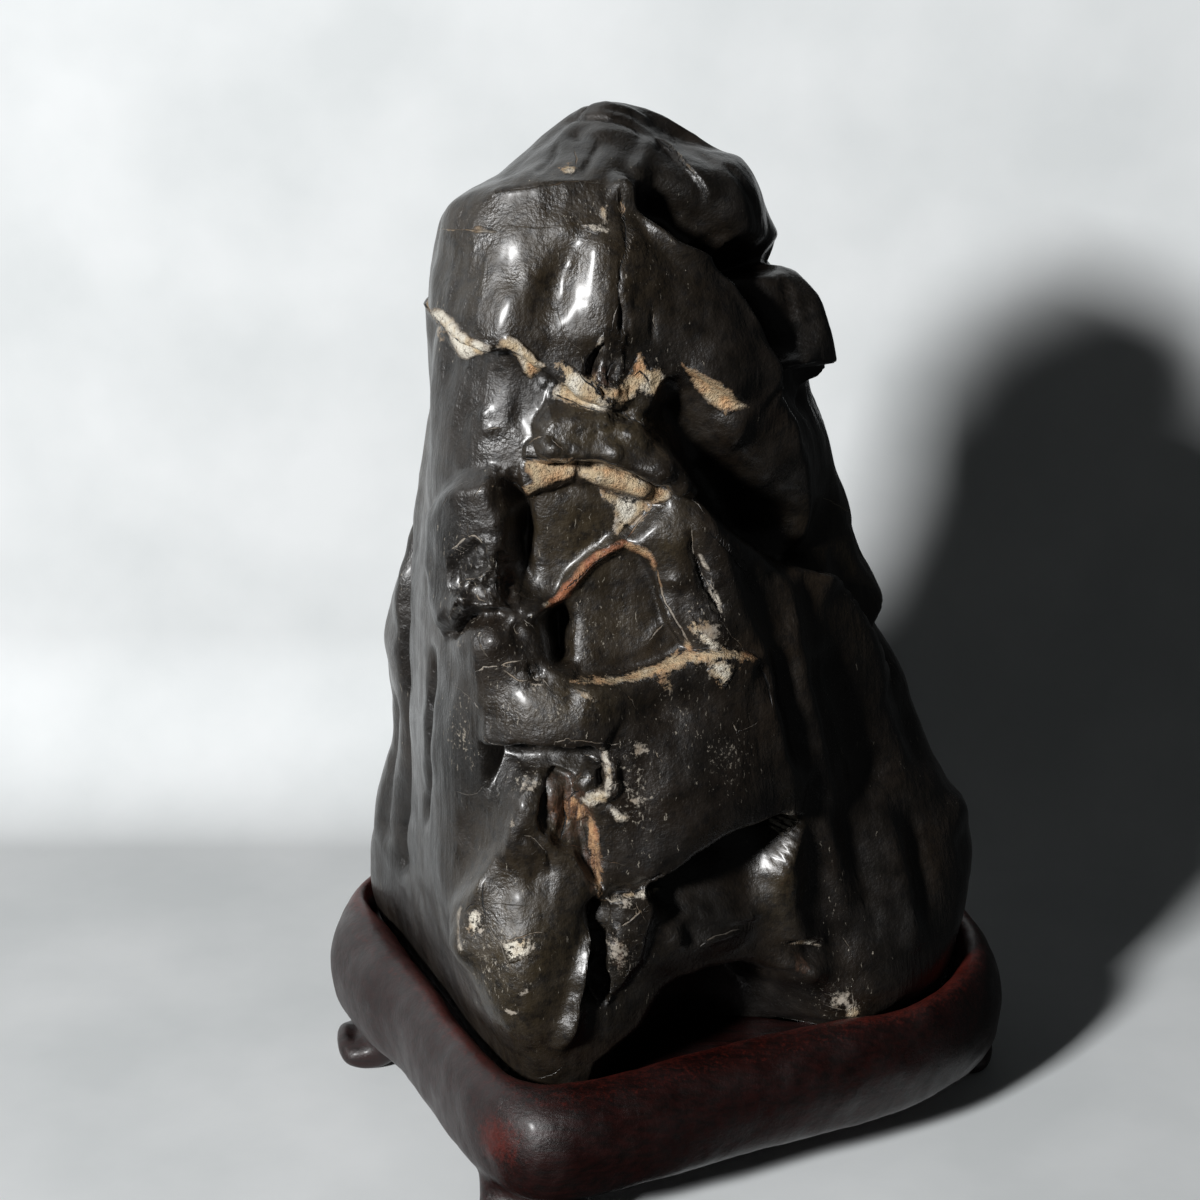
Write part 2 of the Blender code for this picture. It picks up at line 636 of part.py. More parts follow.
def make_stand():
    """The stand: a bulging rim round the recess, with four feet joined to its apron."""
    bm = bmesh.new()
    rows = len(RIM_SECTION) + 1
    turns, rises = sphere_grid(bm, STAND_COLUMNS, rows)
    stone_edge = round_curve(LEVEL_SECTIONS[0][1], turns)
    middle = np.array(LEVEL_SECTIONS[0][1], float).mean(axis=0)
    outward = stone_edge - middle
    outward /= np.linalg.norm(outward, axis=1, keepdims=True)
    wall = stone_edge + RECESS_CLEARANCE * outward
    widest = along_bearings(round_curve(STAND_OUTLINE, np.linspace(0.0, 1.0, 400)), middle, outward)
    section = np.array([(-1.0, RECESS_FLOOR), *RIM_SECTION, (-1.0, RIM_SECTION[-1][1])])
    row = np.round((1.0 - rises) * rows).astype(int)
    share = section[row, 0][:, None]
    inner = middle + (wall - middle) * (1.0 + np.minimum(share, 0.0))
    plan = np.where(share < 0, inner, wall + (widest - wall) * share)
    place_vertices(bm, np.column_stack([plan, section[row, 1]]) * MM)
    stand = finished_object(bm, "stand", STAND_COLOUR, STAND_ROUGHNESS)
    for name, *placing in FEET:
        foot = foot_object(f"{name}_foot", *placing)
        foot.hide_render = True
        foot.display_type = "WIRE"
        union = stand.modifiers.new(foot.name, "BOOLEAN")
        union.operation = "UNION"
        union.object = foot
    return stand


def along_bearings(outline, middle, bearings):
    """Where the ray from the middle along each bearing meets the closed outline."""
    found = np.zeros_like(bearings)
    edges = np.diff(outline, axis=0)
    for index, bearing in enumerate(bearings):
        turn = edges[:, 0] * bearing[1] - edges[:, 1] * bearing[0]
        offset = middle - outline[:-1]
        part = (offset[:, 0] * bearing[1] - offset[:, 1] * bearing[0]) / turn
        reach = ((outline[:-1] + part[:, None] * edges - middle) * bearing).sum(axis=1)
        meets = (part >= 0) & (part <= 1) & (reach > 0)
        found[index] = middle + bearing * reach[meets].max()
    return found


def finished_object(bm, name, colour, roughness):
    """An object of the mesh in bm, shaded smooth, with its own material."""
    mesh = bpy.data.meshes.new(name)
    bm.to_mesh(mesh)
    bm.free()
    mesh.shade_smooth()
    material = bpy.data.materials.new(name)
    material.use_nodes = True
    shader = material.node_tree.nodes["Principled BSDF"]
    shader.inputs["Base Color"].default_value = colour
    shader.inputs["Roughness"].default_value = roughness
    mesh.materials.append(material)
    return bpy.data.objects.new(name, mesh)


def main():
    """Clears the scene and builds the stone and its stand."""
    for leftover in list(bpy.data.objects):
        bpy.data.objects.remove(leftover)
    parts = bpy.data.collections.new("scholars rock")
    cutters = bpy.data.collections.new("pieces joined to the stand")
    bpy.context.scene.collection.children.link(parts)
    bpy.context.scene.collection.children.link(cutters)
    parts.objects.link(make_stone())
    parts.objects.link(make_stand())
    for piece in bpy.data.objects:
        if piece.hide_render:
            cutters.objects.link(piece)


main()
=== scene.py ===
"""The looks of a scholar's rock and its carved stand: the stone's skin, its veins and cracks, and the studio.

Lengths are millimetres until a mesh is written, which is in metres. +Z is up, the origin is on the floor
under the middle of the stand, and -Y points to the side of the stone that is shown.
"""

from __future__ import annotations

import logging
import math
from dataclasses import dataclass
from enum import Enum
from typing import Any, Protocol

import bmesh
import bpy
import numpy as np
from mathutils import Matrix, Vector
from mathutils.bvhtree import BVHTree

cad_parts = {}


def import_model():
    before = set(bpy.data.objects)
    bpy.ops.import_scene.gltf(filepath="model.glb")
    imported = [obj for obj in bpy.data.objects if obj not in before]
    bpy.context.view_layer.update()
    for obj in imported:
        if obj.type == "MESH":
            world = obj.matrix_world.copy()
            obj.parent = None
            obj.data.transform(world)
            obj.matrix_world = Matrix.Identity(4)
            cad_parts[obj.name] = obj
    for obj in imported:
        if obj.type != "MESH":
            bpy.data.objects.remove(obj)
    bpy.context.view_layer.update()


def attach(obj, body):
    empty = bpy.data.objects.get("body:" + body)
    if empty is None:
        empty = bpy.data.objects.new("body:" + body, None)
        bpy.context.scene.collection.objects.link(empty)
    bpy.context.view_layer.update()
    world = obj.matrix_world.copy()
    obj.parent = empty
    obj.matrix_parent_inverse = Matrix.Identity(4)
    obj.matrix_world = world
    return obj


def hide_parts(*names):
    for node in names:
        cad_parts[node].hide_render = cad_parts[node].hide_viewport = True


LOG = logging.getLogger("scholars_rock")
Array = np.ndarray
Point = tuple[float, float]
Tree = bpy.types.NodeTree
Socket = bpy.types.NodeSocket
Node = bpy.types.Node

MM = 0.001  # one millimetre, in metres
BODY = "root"

# The line of sight of the front drawing: from the eye, through a point on an upright sheet
EYE = (-16.0, -616.6, 380.9)
SHEET_Y = -40.0
# The other drawings are seen straight on: from this far off, along one axis
FAR = 400.0


class View(Enum):
    """The side of the stone that a drawing shows."""

    FRONT = "front"
    BACK = "back"
    LEFT = "left"
    RIGHT = "right"

    def sight(self, point: Point) -> tuple[Vector, Vector]:
        """Gives the line of sight of one point of this side's drawing.

        Args:
            point: The place across and up on the drawing, mm.

        Returns:
            The eye's place and the direction in which it looks.
        """
        if self is View.FRONT:
            eye = Vector(EYE)
            return eye, (Vector((point[0], SHEET_Y, point[1])) - eye).normalized()
        if self is View.BACK:
            return Vector((point[0], FAR, point[1])), Vector((0.0, -1.0, 0.0))
        inward = 1.0 if self is View.LEFT else -1.0
        return Vector((-inward * FAR, point[0], point[1])), Vector((inward, 0.0, 0.0))


def smooth_step(value: Array) -> Array:
    """Gives a soft step from 0 at 0 to 1 at 1."""
    value = np.clip(value, 0.0, 1.0)
    return value * value * (3.0 - 2.0 * value)


def through(before: Array, start: Array, end: Array, after: Array, part: Array | float) -> Array:
    """Gives the Catmull-Rom curve's point at a part of the way from start to end."""
    return 0.5 * (
        2 * start
        + (end - before) * part
        + (2 * before - 5 * start + 4 * end - after) * part**2
        + (3 * start - before - 3 * end + after) * part**3
    )


def round_curve(points: Array, turns: Array) -> Array:
    """Reads the closed smooth curve through the points at each turn from 0 to 1."""
    count = len(points)
    place = np.asarray(turns) * count
    first = np.floor(place).astype(int)
    corners = [points[(first + step) % count] for step in (-1, 0, 1, 2)]
    return through(*corners, (place - first)[:, None])


def open_curve(points: Array, step: float = 4.0) -> Array:
    """Gives points about a step apart on the smooth curve through the given points."""
    if len(points) < 3:
        return points
    ends = np.concatenate([[2 * points[0] - points[1]], points, [2 * points[-1] - points[-2]]])
    found = []
    for before, start, end, after in zip(ends, ends[1:], ends[2:], ends[3:]):
        pieces = max(1, int(np.linalg.norm(end - start) / step))
        found += [through(before, start, end, after, part) for part in np.arange(pieces) / pieces]
    return np.array([*found, points[-1]])


class Grain:
    """Seeded natural variation: gradient noise and broken facets."""

    def __init__(self, seed: int) -> None:
        """Draws the random tables of one seed."""
        rng = np.random.default_rng(seed)
        self.order = np.tile(rng.permutation(256), 3)
        gradients = rng.normal(size=(256, 3))
        self.gradients = gradients / np.linalg.norm(gradients, axis=1, keepdims=True)
        self.jitter = rng.random((256, 3))

    def pick(self, cells: Array) -> Array:
        """Gives each integer cell its own number from 0 to 255."""
        x, y, z = (cells & 255).T
        return self.order[self.order[self.order[x] + y] + z]

    def noise(self, points: Array) -> Array:
        """Gives smooth noise of about -1 to 1, one wave to a unit."""
        cells = np.floor(points).astype(int)
        part = points - cells
        ease = part**3 * (part * (part * 6 - 15) + 10)
        total = np.zeros(len(points))
        for corner in np.ndindex(2, 2, 2):
            share = np.prod(np.where(corner, ease, 1 - ease), axis=1)
            total += share * (self.gradients[self.pick(cells + corner)] * (part - corner)).sum(axis=1)
        return total * 1.6

    def layers(self, points: Array, count: int = 3, gain: float = 0.5) -> Array:
        """Adds up layers of noise, each about twice as fine as the one before and gain times as strong."""
        return sum(gain**layer * self.noise(points * 2.03**layer + 17.3 * layer) for layer in range(count))

    def warp(self, points: Array, wave: float, amount: float) -> Array:
        """Moves points about by a noise of the given wave and amount, so that drawn lines wander."""
        shifts = [self.layers(points / wave + offset, 2) for offset in ((0, 0, 0), (31, 5, 9), (7, 51, 3))]
        return points + amount * np.stack(shifts, axis=1)

    def facets(self, points: Array) -> Array:
        """Gives heights of small flat chips, one to a unit, each tilted its own way."""
        cells = np.floor(points).astype(int)
        nearest = np.full(len(points), np.inf)
        height = np.zeros(len(points))
        for step in np.ndindex(3, 3, 3):
            cell = cells + np.array(step) - 1
            number = self.pick(cell)
            offset = points - cell - self.jitter[number]
            distance = (offset**2).sum(axis=1)
            closer = distance < nearest
            nearest[closer] = distance[closer]
            height[closer] = (offset * self.gradients[(number + 7) % 256]).sum(axis=1)[closer]
        return height


WANDER = Grain(11)
NATURE = Grain(5)


class Skin:
    """A closed skin of rings of vertices: where they are, how they face, and what a line of sight meets."""

    def __init__(self, columns: int, rows: int) -> None:
        """Starts as a sphere of the given number of columns and rows."""
        self.bm = bmesh.new()
        bmesh.ops.create_uvsphere(self.bm, u_segments=columns, v_segments=rows, radius=1.0)
        x, y, z = self.read().T
        turns = np.arctan2(x, -y) / (2 * math.pi) % 1.0
        self.turns = np.round(turns * columns) / columns % 1.0
        self.rises = np.arccos(np.clip(-z, -1.0, 1.0)) / math.pi
        self.points = np.zeros((len(self.turns), 3))
        self.normals = np.zeros((len(self.turns), 3))
        self.tree: BVHTree | None = None

    def read(self) -> Array:
        """Gives where the vertices are."""
        return np.array([vertex.co[:] for vertex in self.bm.verts])

    def place(self, points: Array) -> None:
        """Moves the vertices to the points, in millimetres, and works out their normals."""
        self.points = points
        for vertex, point in zip(self.bm.verts, points.tolist()):
            vertex.co = point
        self.bm.normal_update()
        self.normals = np.array([vertex.normal[:] for vertex in self.bm.verts])
        self.tree = BVHTree.FromBMesh(self.bm)

    def carry(self, view: View, drawn: tuple[Point, ...]) -> Array:
        """Carries the points of a drawing onto the skin.

        Args:
            view: The side that the drawing shows.
            drawn: The points of the drawing, mm.

        Returns:
            The places on the skin that the points show. A point that shows none, as it lies just
            outside the outline, gets the place nearest its line of sight.
        """
        places = []
        for point in drawn:
            eye, sight = view.sight(point)
            hit = self.tree.ray_cast(eye, sight)[0]
            if hit is None:
                beside = [self.tree.find_nearest(eye + sight * reach) for reach in range(300, 760, 4)]
                hit = min(beside, key=lambda found: found[3])[0]
            places.append(hit[:])
        return np.array(places)


@dataclass
class Run:
    """How points lie along a path: the nearest distance, how far along, where on the path and its heading."""

    nearest: Array
    travelled: Array
    length: float
    feet: Array
    headings: Array

    def fade(self, ends: float) -> Array:
        """Gives 1 along the middle of the path, falling to 0 at both ends."""
        ends = min(ends, self.length / 2)
        return smooth_step(self.travelled / ends) * smooth_step((self.length - self.travelled) / ends)

    def below(self, points: Array, normals: Array) -> Array:
        """Tells which points lie to the right of the path as it runs: below one drawn rightwards."""
        return np.einsum("ij,ij->i", np.cross(points - self.feet, self.headings), normals) >= 0


def run_along(points: Array, path: Array) -> Run:
    """Measures points against a path of straight pieces."""
    nearest = np.full(len(points), np.inf)
    travelled = np.zeros(len(points))
    feet = np.zeros_like(points)
    headings = np.zeros_like(points)
    start_length = 0.0
    for start, end in zip(path, path[1:]):
        length = float(np.linalg.norm(end - start))
        if length < 1e-6:
            continue
        heading = (end - start) / length
        ahead = np.clip((points - start) @ heading, 0.0, length)
        foot = start + ahead[:, None] * heading
        distance = np.linalg.norm(points - foot, axis=1)
        closer = distance < nearest
        nearest[closer] = distance[closer]
        travelled[closer] = start_length + ahead[closer]
        feet[closer] = foot[closer]
        headings[closer] = heading
        start_length += length
    return Run(nearest, travelled, start_length, feet, headings)


def close_to(points: Array, path: Array, reach: float) -> Array:
    """Gives the numbers of the points within reach of the path's box."""
    low, high = path.min(axis=0) - reach, path.max(axis=0) + reach
    return np.flatnonzero(((points > low) & (points < high)).all(axis=1))


def round_patch(
    points: Array, normals: Array, centre: Array, across: float, along: float, turn: float
) -> Array:
    """Gives a round bump of height 1 on the skin: across and along are where it falls to a third."""
    normal = normals[np.argmin(((points - centre) ** 2).sum(axis=1))]
    sideways = np.cross((0.0, 0.0, 1.0), normal)
    sideways /= np.linalg.norm(sideways)
    upward = np.cross(normal, sideways)
    angle = math.radians(turn)
    first = sideways * math.cos(angle) + upward * math.sin(angle)
    second = upward * math.cos(angle) - sideways * math.sin(angle)
    offset = points - centre
    depth = 1.6 * max(across, along)
    square = (offset @ first / across) ** 2 + (offset @ second / along) ** 2
    return np.exp(-square - (offset @ normal / depth) ** 2)


class Form(Protocol):
    """A drawn form that lifts or sinks the stone's skin."""

    straight_in: bool

    def lift(self, skin: Skin, points: Array) -> Array:
        """Gives how far the form lifts each point of the skin, mm."""


@dataclass(frozen=True)
class Stroke:
    """A ridge along a path, or a groove where its height is below zero."""

    name: str
    path: tuple[Point, ...]
    height: float  # mm
    width: float  # how far to the side it falls to a third, mm
    fade: float = 8.0  # how far from each end it reaches its height, mm
    view: View = View.FRONT
    sharp: bool = False  # whether it comes to an edge, as a crack does
    straight_in: bool = False  # whether it pushes level and outwards, not along the skin's normals

    def lift(self, skin: Skin, points: Array) -> Array:
        """Gives how far the stroke lifts each point of the skin, mm."""
        lifted = np.zeros(len(points))
        path = open_curve(skin.carry(self.view, self.path))
        near = close_to(points, path, self.width * (6 if self.sharp else 3))
        run = run_along(points[near], path)
        reach = run.nearest / self.width
        lifted[near] = self.height * np.exp(-reach if self.sharp else -(reach**2)) * run.fade(self.fade)
        return lifted


@dataclass(frozen=True)
class Ledge:
    """A step along a path drawn rightwards: the stone stands out above it and draws back below it."""

    name: str
    path: tuple[Point, ...]
    above: float  # how far it lifts the skin above the path, or sinks it where below zero, mm
    below: float  # the same below the path
    lip: float  # half the width of the step itself, mm
    reach_up: float
    reach_down: float
    fade: float = 8.0
    view: View = View.FRONT
    straight_in: bool = False

    def lift(self, skin: Skin, points: Array) -> Array:
        """Gives how far the ledge lifts each point of the skin, mm."""
        lifted = np.zeros(len(points))
        path = open_curve(skin.carry(self.view, self.path))
        near = close_to(points, path, 2.6 * max(self.reach_up, self.reach_down))
        run = run_along(points[near], path)
        signed = np.where(run.below(points[near], skin.normals[near]), run.nearest, -run.nearest)
        share = smooth_step(signed / self.lip / 2 + 0.5)
        high = self.above * np.exp(-((np.clip(-signed, 0, None) / self.reach_up) ** 2))
        low = self.below * np.exp(-((np.clip(signed, 0, None) / self.reach_down) ** 2))
        lifted[near] = (high * (1 - share) + low * share) * run.fade(self.fade)
        return lifted


@dataclass(frozen=True)
class Swell:
    """A round boss, or a hollow where its height is below zero."""

    name: str
    centre: Point
    across: float
    along: float
    height: float
    view: View = View.FRONT
    turn: float = 0.0
    straight_in: bool = False

    def lift(self, skin: Skin, points: Array) -> Array:
        """Gives how far the swell lifts each point of the skin, mm."""
        centre = skin.carry(self.view, (self.centre,))[0]
        patch = round_patch(points, skin.normals, centre, self.across, self.along, self.turn)
        return self.height * patch


def inside_outline(points: Array, outline: tuple[Point, ...]) -> Array:
    """Measures points against an outline of the front drawing.

    Args:
        points: The points, mm.
        outline: The corners of the outline.

    Returns:
        How deep inside the outline each point is drawn, mm, below 0 outside it.
    """
    eye = np.array(EYE)
    sight = points - eye
    scale = (SHEET_Y - eye[1]) / sight[:, 1]
    drawn = np.stack([eye[0] + sight[:, 0] * scale, eye[2] + sight[:, 2] * scale], axis=1)
    corners = np.array(outline, float)
    nearest = np.full(len(points), np.inf)
    inside = np.zeros(len(points), bool)
    for start, end in zip(corners, np.roll(corners, -1, axis=0)):
        edge = end - start
        ahead = np.clip((drawn - start) @ edge / (edge @ edge), 0.0, 1.0)
        away = np.linalg.norm(drawn - start - ahead[:, None] * edge, axis=1)
        nearest = np.minimum(nearest, away)
        if start[1] != end[1]:
            spans = (start[1] > drawn[:, 1]) != (end[1] > drawn[:, 1])
            crossing = edge[0] * (drawn[:, 1] - start[1]) / edge[1] + start[0]
            inside ^= spans & (drawn[:, 0] < crossing)
    return np.where(inside, nearest, -nearest)


def facing_eye(points: Array, normals: Array) -> Array:
    """Tells how squarely each point of the skin faces the eye of the front drawing, from -1 to 1."""
    sight = points - np.array(EYE)
    return -(normals * sight).sum(axis=1) / np.linalg.norm(sight, axis=1)


@dataclass(frozen=True)
class Panel:
    """An outlined part of the shown side that stands out or is sunk, or is cut straight in."""

    name: str
    outline: tuple[Point, ...]
    height: float  # mm
    edge: float  # half the width of the slope round it, mm
    straight_in: bool = False

    def lift(self, skin: Skin, points: Array) -> Array:
        """Gives how far the panel lifts each point of the skin that the front drawing shows, mm."""
        share = smooth_step(inside_outline(points, self.outline) / self.edge / 2 + 0.5)
        return self.height * share * smooth_step(facing_eye(points, skin.normals) / 0.15)


class Stain(Enum):
    """What a patch changes in the stone's look."""

    CREAM = "cream"
    UMBER = "umber"
    TINT = "tint"
    FLECKS = "flecks"
    OLIVE = "olive"
    BROKEN = "broken"


@dataclass(frozen=True)
class Inlay:
    """A filling of pale or rusty calcite, drawn by its outline."""

    outline: tuple[Point, ...]
    rust: float  # 0 chalky, 1 rusty
    ragged: float  # how far its edge breaks up, 0 to 2


@dataclass(frozen=True)
class Hair:
    """A hairline crack: half its width, mm, and how pale its filling is, 0 where it is open and dark."""

    path: tuple[Point, ...]
    half_width: float
    pale: float
    view: View = View.FRONT


@dataclass(frozen=True)
class Patch:
    """A round area where a stain is strong."""

    stain: Stain
    centre: Point
    across: float
    along: float
    turn: float = 0.0
    strength: float = 1.0
    view: View = View.FRONT


# Horizontal sections of the stone, lowest first, mm. Each goes round from the nose of the front:
# nose, front middle, front right, main ridge, right flank, right edge, back right, back, back middle,
# back left, left edge, left hollow, left front edge, left front face.
LEVEL_SECTIONS = (
    (38.0, ((-32, -57), (-16, -55), (8, -42), (31, -33), (56, -25), (72, -2), (69, 32),
            (42, 58), (5, 68), (-38, 66), (-74, 37), (-66, 12), (-56, -12), (-45, -38))),
    (60.0, ((-35, -57), (-18, -54), (-8, -49), (30, -29), (54, -20), (74, 2), (68, 34),
            (40, 58), (2, 66), (-40, 62), (-73, 34), (-66, 8), (-58, -16), (-49, -40))),
    (90.0, ((-33, -52), (-14, -50), (8, -45), (26, -32), (46, -14), (64, 6), (59, 34),
            (36, 54), (0, 62), (-38, 58), (-66, 28), (-62, 2), (-57, -22), (-50, -40))),
    (120.0, ((-30, -48), (-10, -45), (8, -41), (20, -35), (38, -16), (53, 8), (49, 32),
             (30, 48), (-2, 55), (-38, 52), (-68, 21), (-62, 0), (-57, -22), (-48, -39))),
    (150.0, ((-27, -40), (-10, -38), (2, -36), (12, -32), (28, -14), (43, 8), (41, 28),
             (24, 42), (-4, 48), (-36, 44), (-60, 16), (-58, -2), (-55, -20), (-44, -36))),
    (175.0, ((-27, -38), (-12, -37), (4, -33), (24, -20), (32, -8), (37, 8), (35, 24),
             (20, 37), (-6, 42), (-34, 38), (-55, 14), (-55, -2), (-54, -18), (-44, -33))),
    (200.0, ((-25, -35), (-10, -34), (6, -31), (19, -24), (27, -10), (32, 6), (31, 20),
             (17, 31), (-8, 36), (-32, 32), (-53.5, 10), (-53.5, -4), (-52, -18), (-42, -31))),
    (218.0, ((-24, -32), (-10, -31), (2, -27), (9, -22), (17, -12), (23, 2), (25, 14),
             (14, 25), (-8, 30), (-30, 26), (-51.5, 6), (-51.5, -5), (-49.5, -17), (-40, -29))),
)
# Sloping sections of the summit, in the same order round: the shoulder, the slope above it and the ridge
SUMMIT_SECTIONS = (
    ((-24, -23, 238), (-15, -23, 238), (-9, -21, 236), (3, -15, 236), (12, -8, 234), (20, 2, 229),
     (20, 13, 226), (10, 21, 230), (-8, 24, 232), (-28, 21, 228), (-47.5, 4, 227), (-48.5, -6, 229),
     (-47, -15, 232), (-38, -21, 236)),
    ((-22, -10, 243), (-15, -10, 244), (-9, -9, 243.5), (1, -7, 241), (9, -3, 239), (16, 3, 236),
     (15, 10, 234), (6, 15, 237), (-8, 17, 240), (-22, 15, 238), (-37.5, 4, 234), (-37.5, -3, 235.5),
     (-37, -8, 236), (-30, -11, 240)),
    ((-19, -2, 248), (-15, -2, 248.5), (-10, -1, 247.5), (-3, 0, 244.5), (4, 1, 241.5), (12, 4, 238.5),
     (9, 8, 238.5), (0, 9, 241.5), (-9, 10, 245), (-18, 9, 245.5), (-26.5, 4, 244.5), (-26, 1, 245),
     (-23.5, -1, 245.5), (-21.5, -2, 247)),
)
APEX = (-14.0, 4.0, 249.3)

RECESS_FLOOR = 28.0  # floor to the bottom of the stand's recess, mm
STAND_HEIGHT = 38.0  # floor to the crest of the rim, mm
SEAT = 28.3  # floor to the stone's flat base, mm


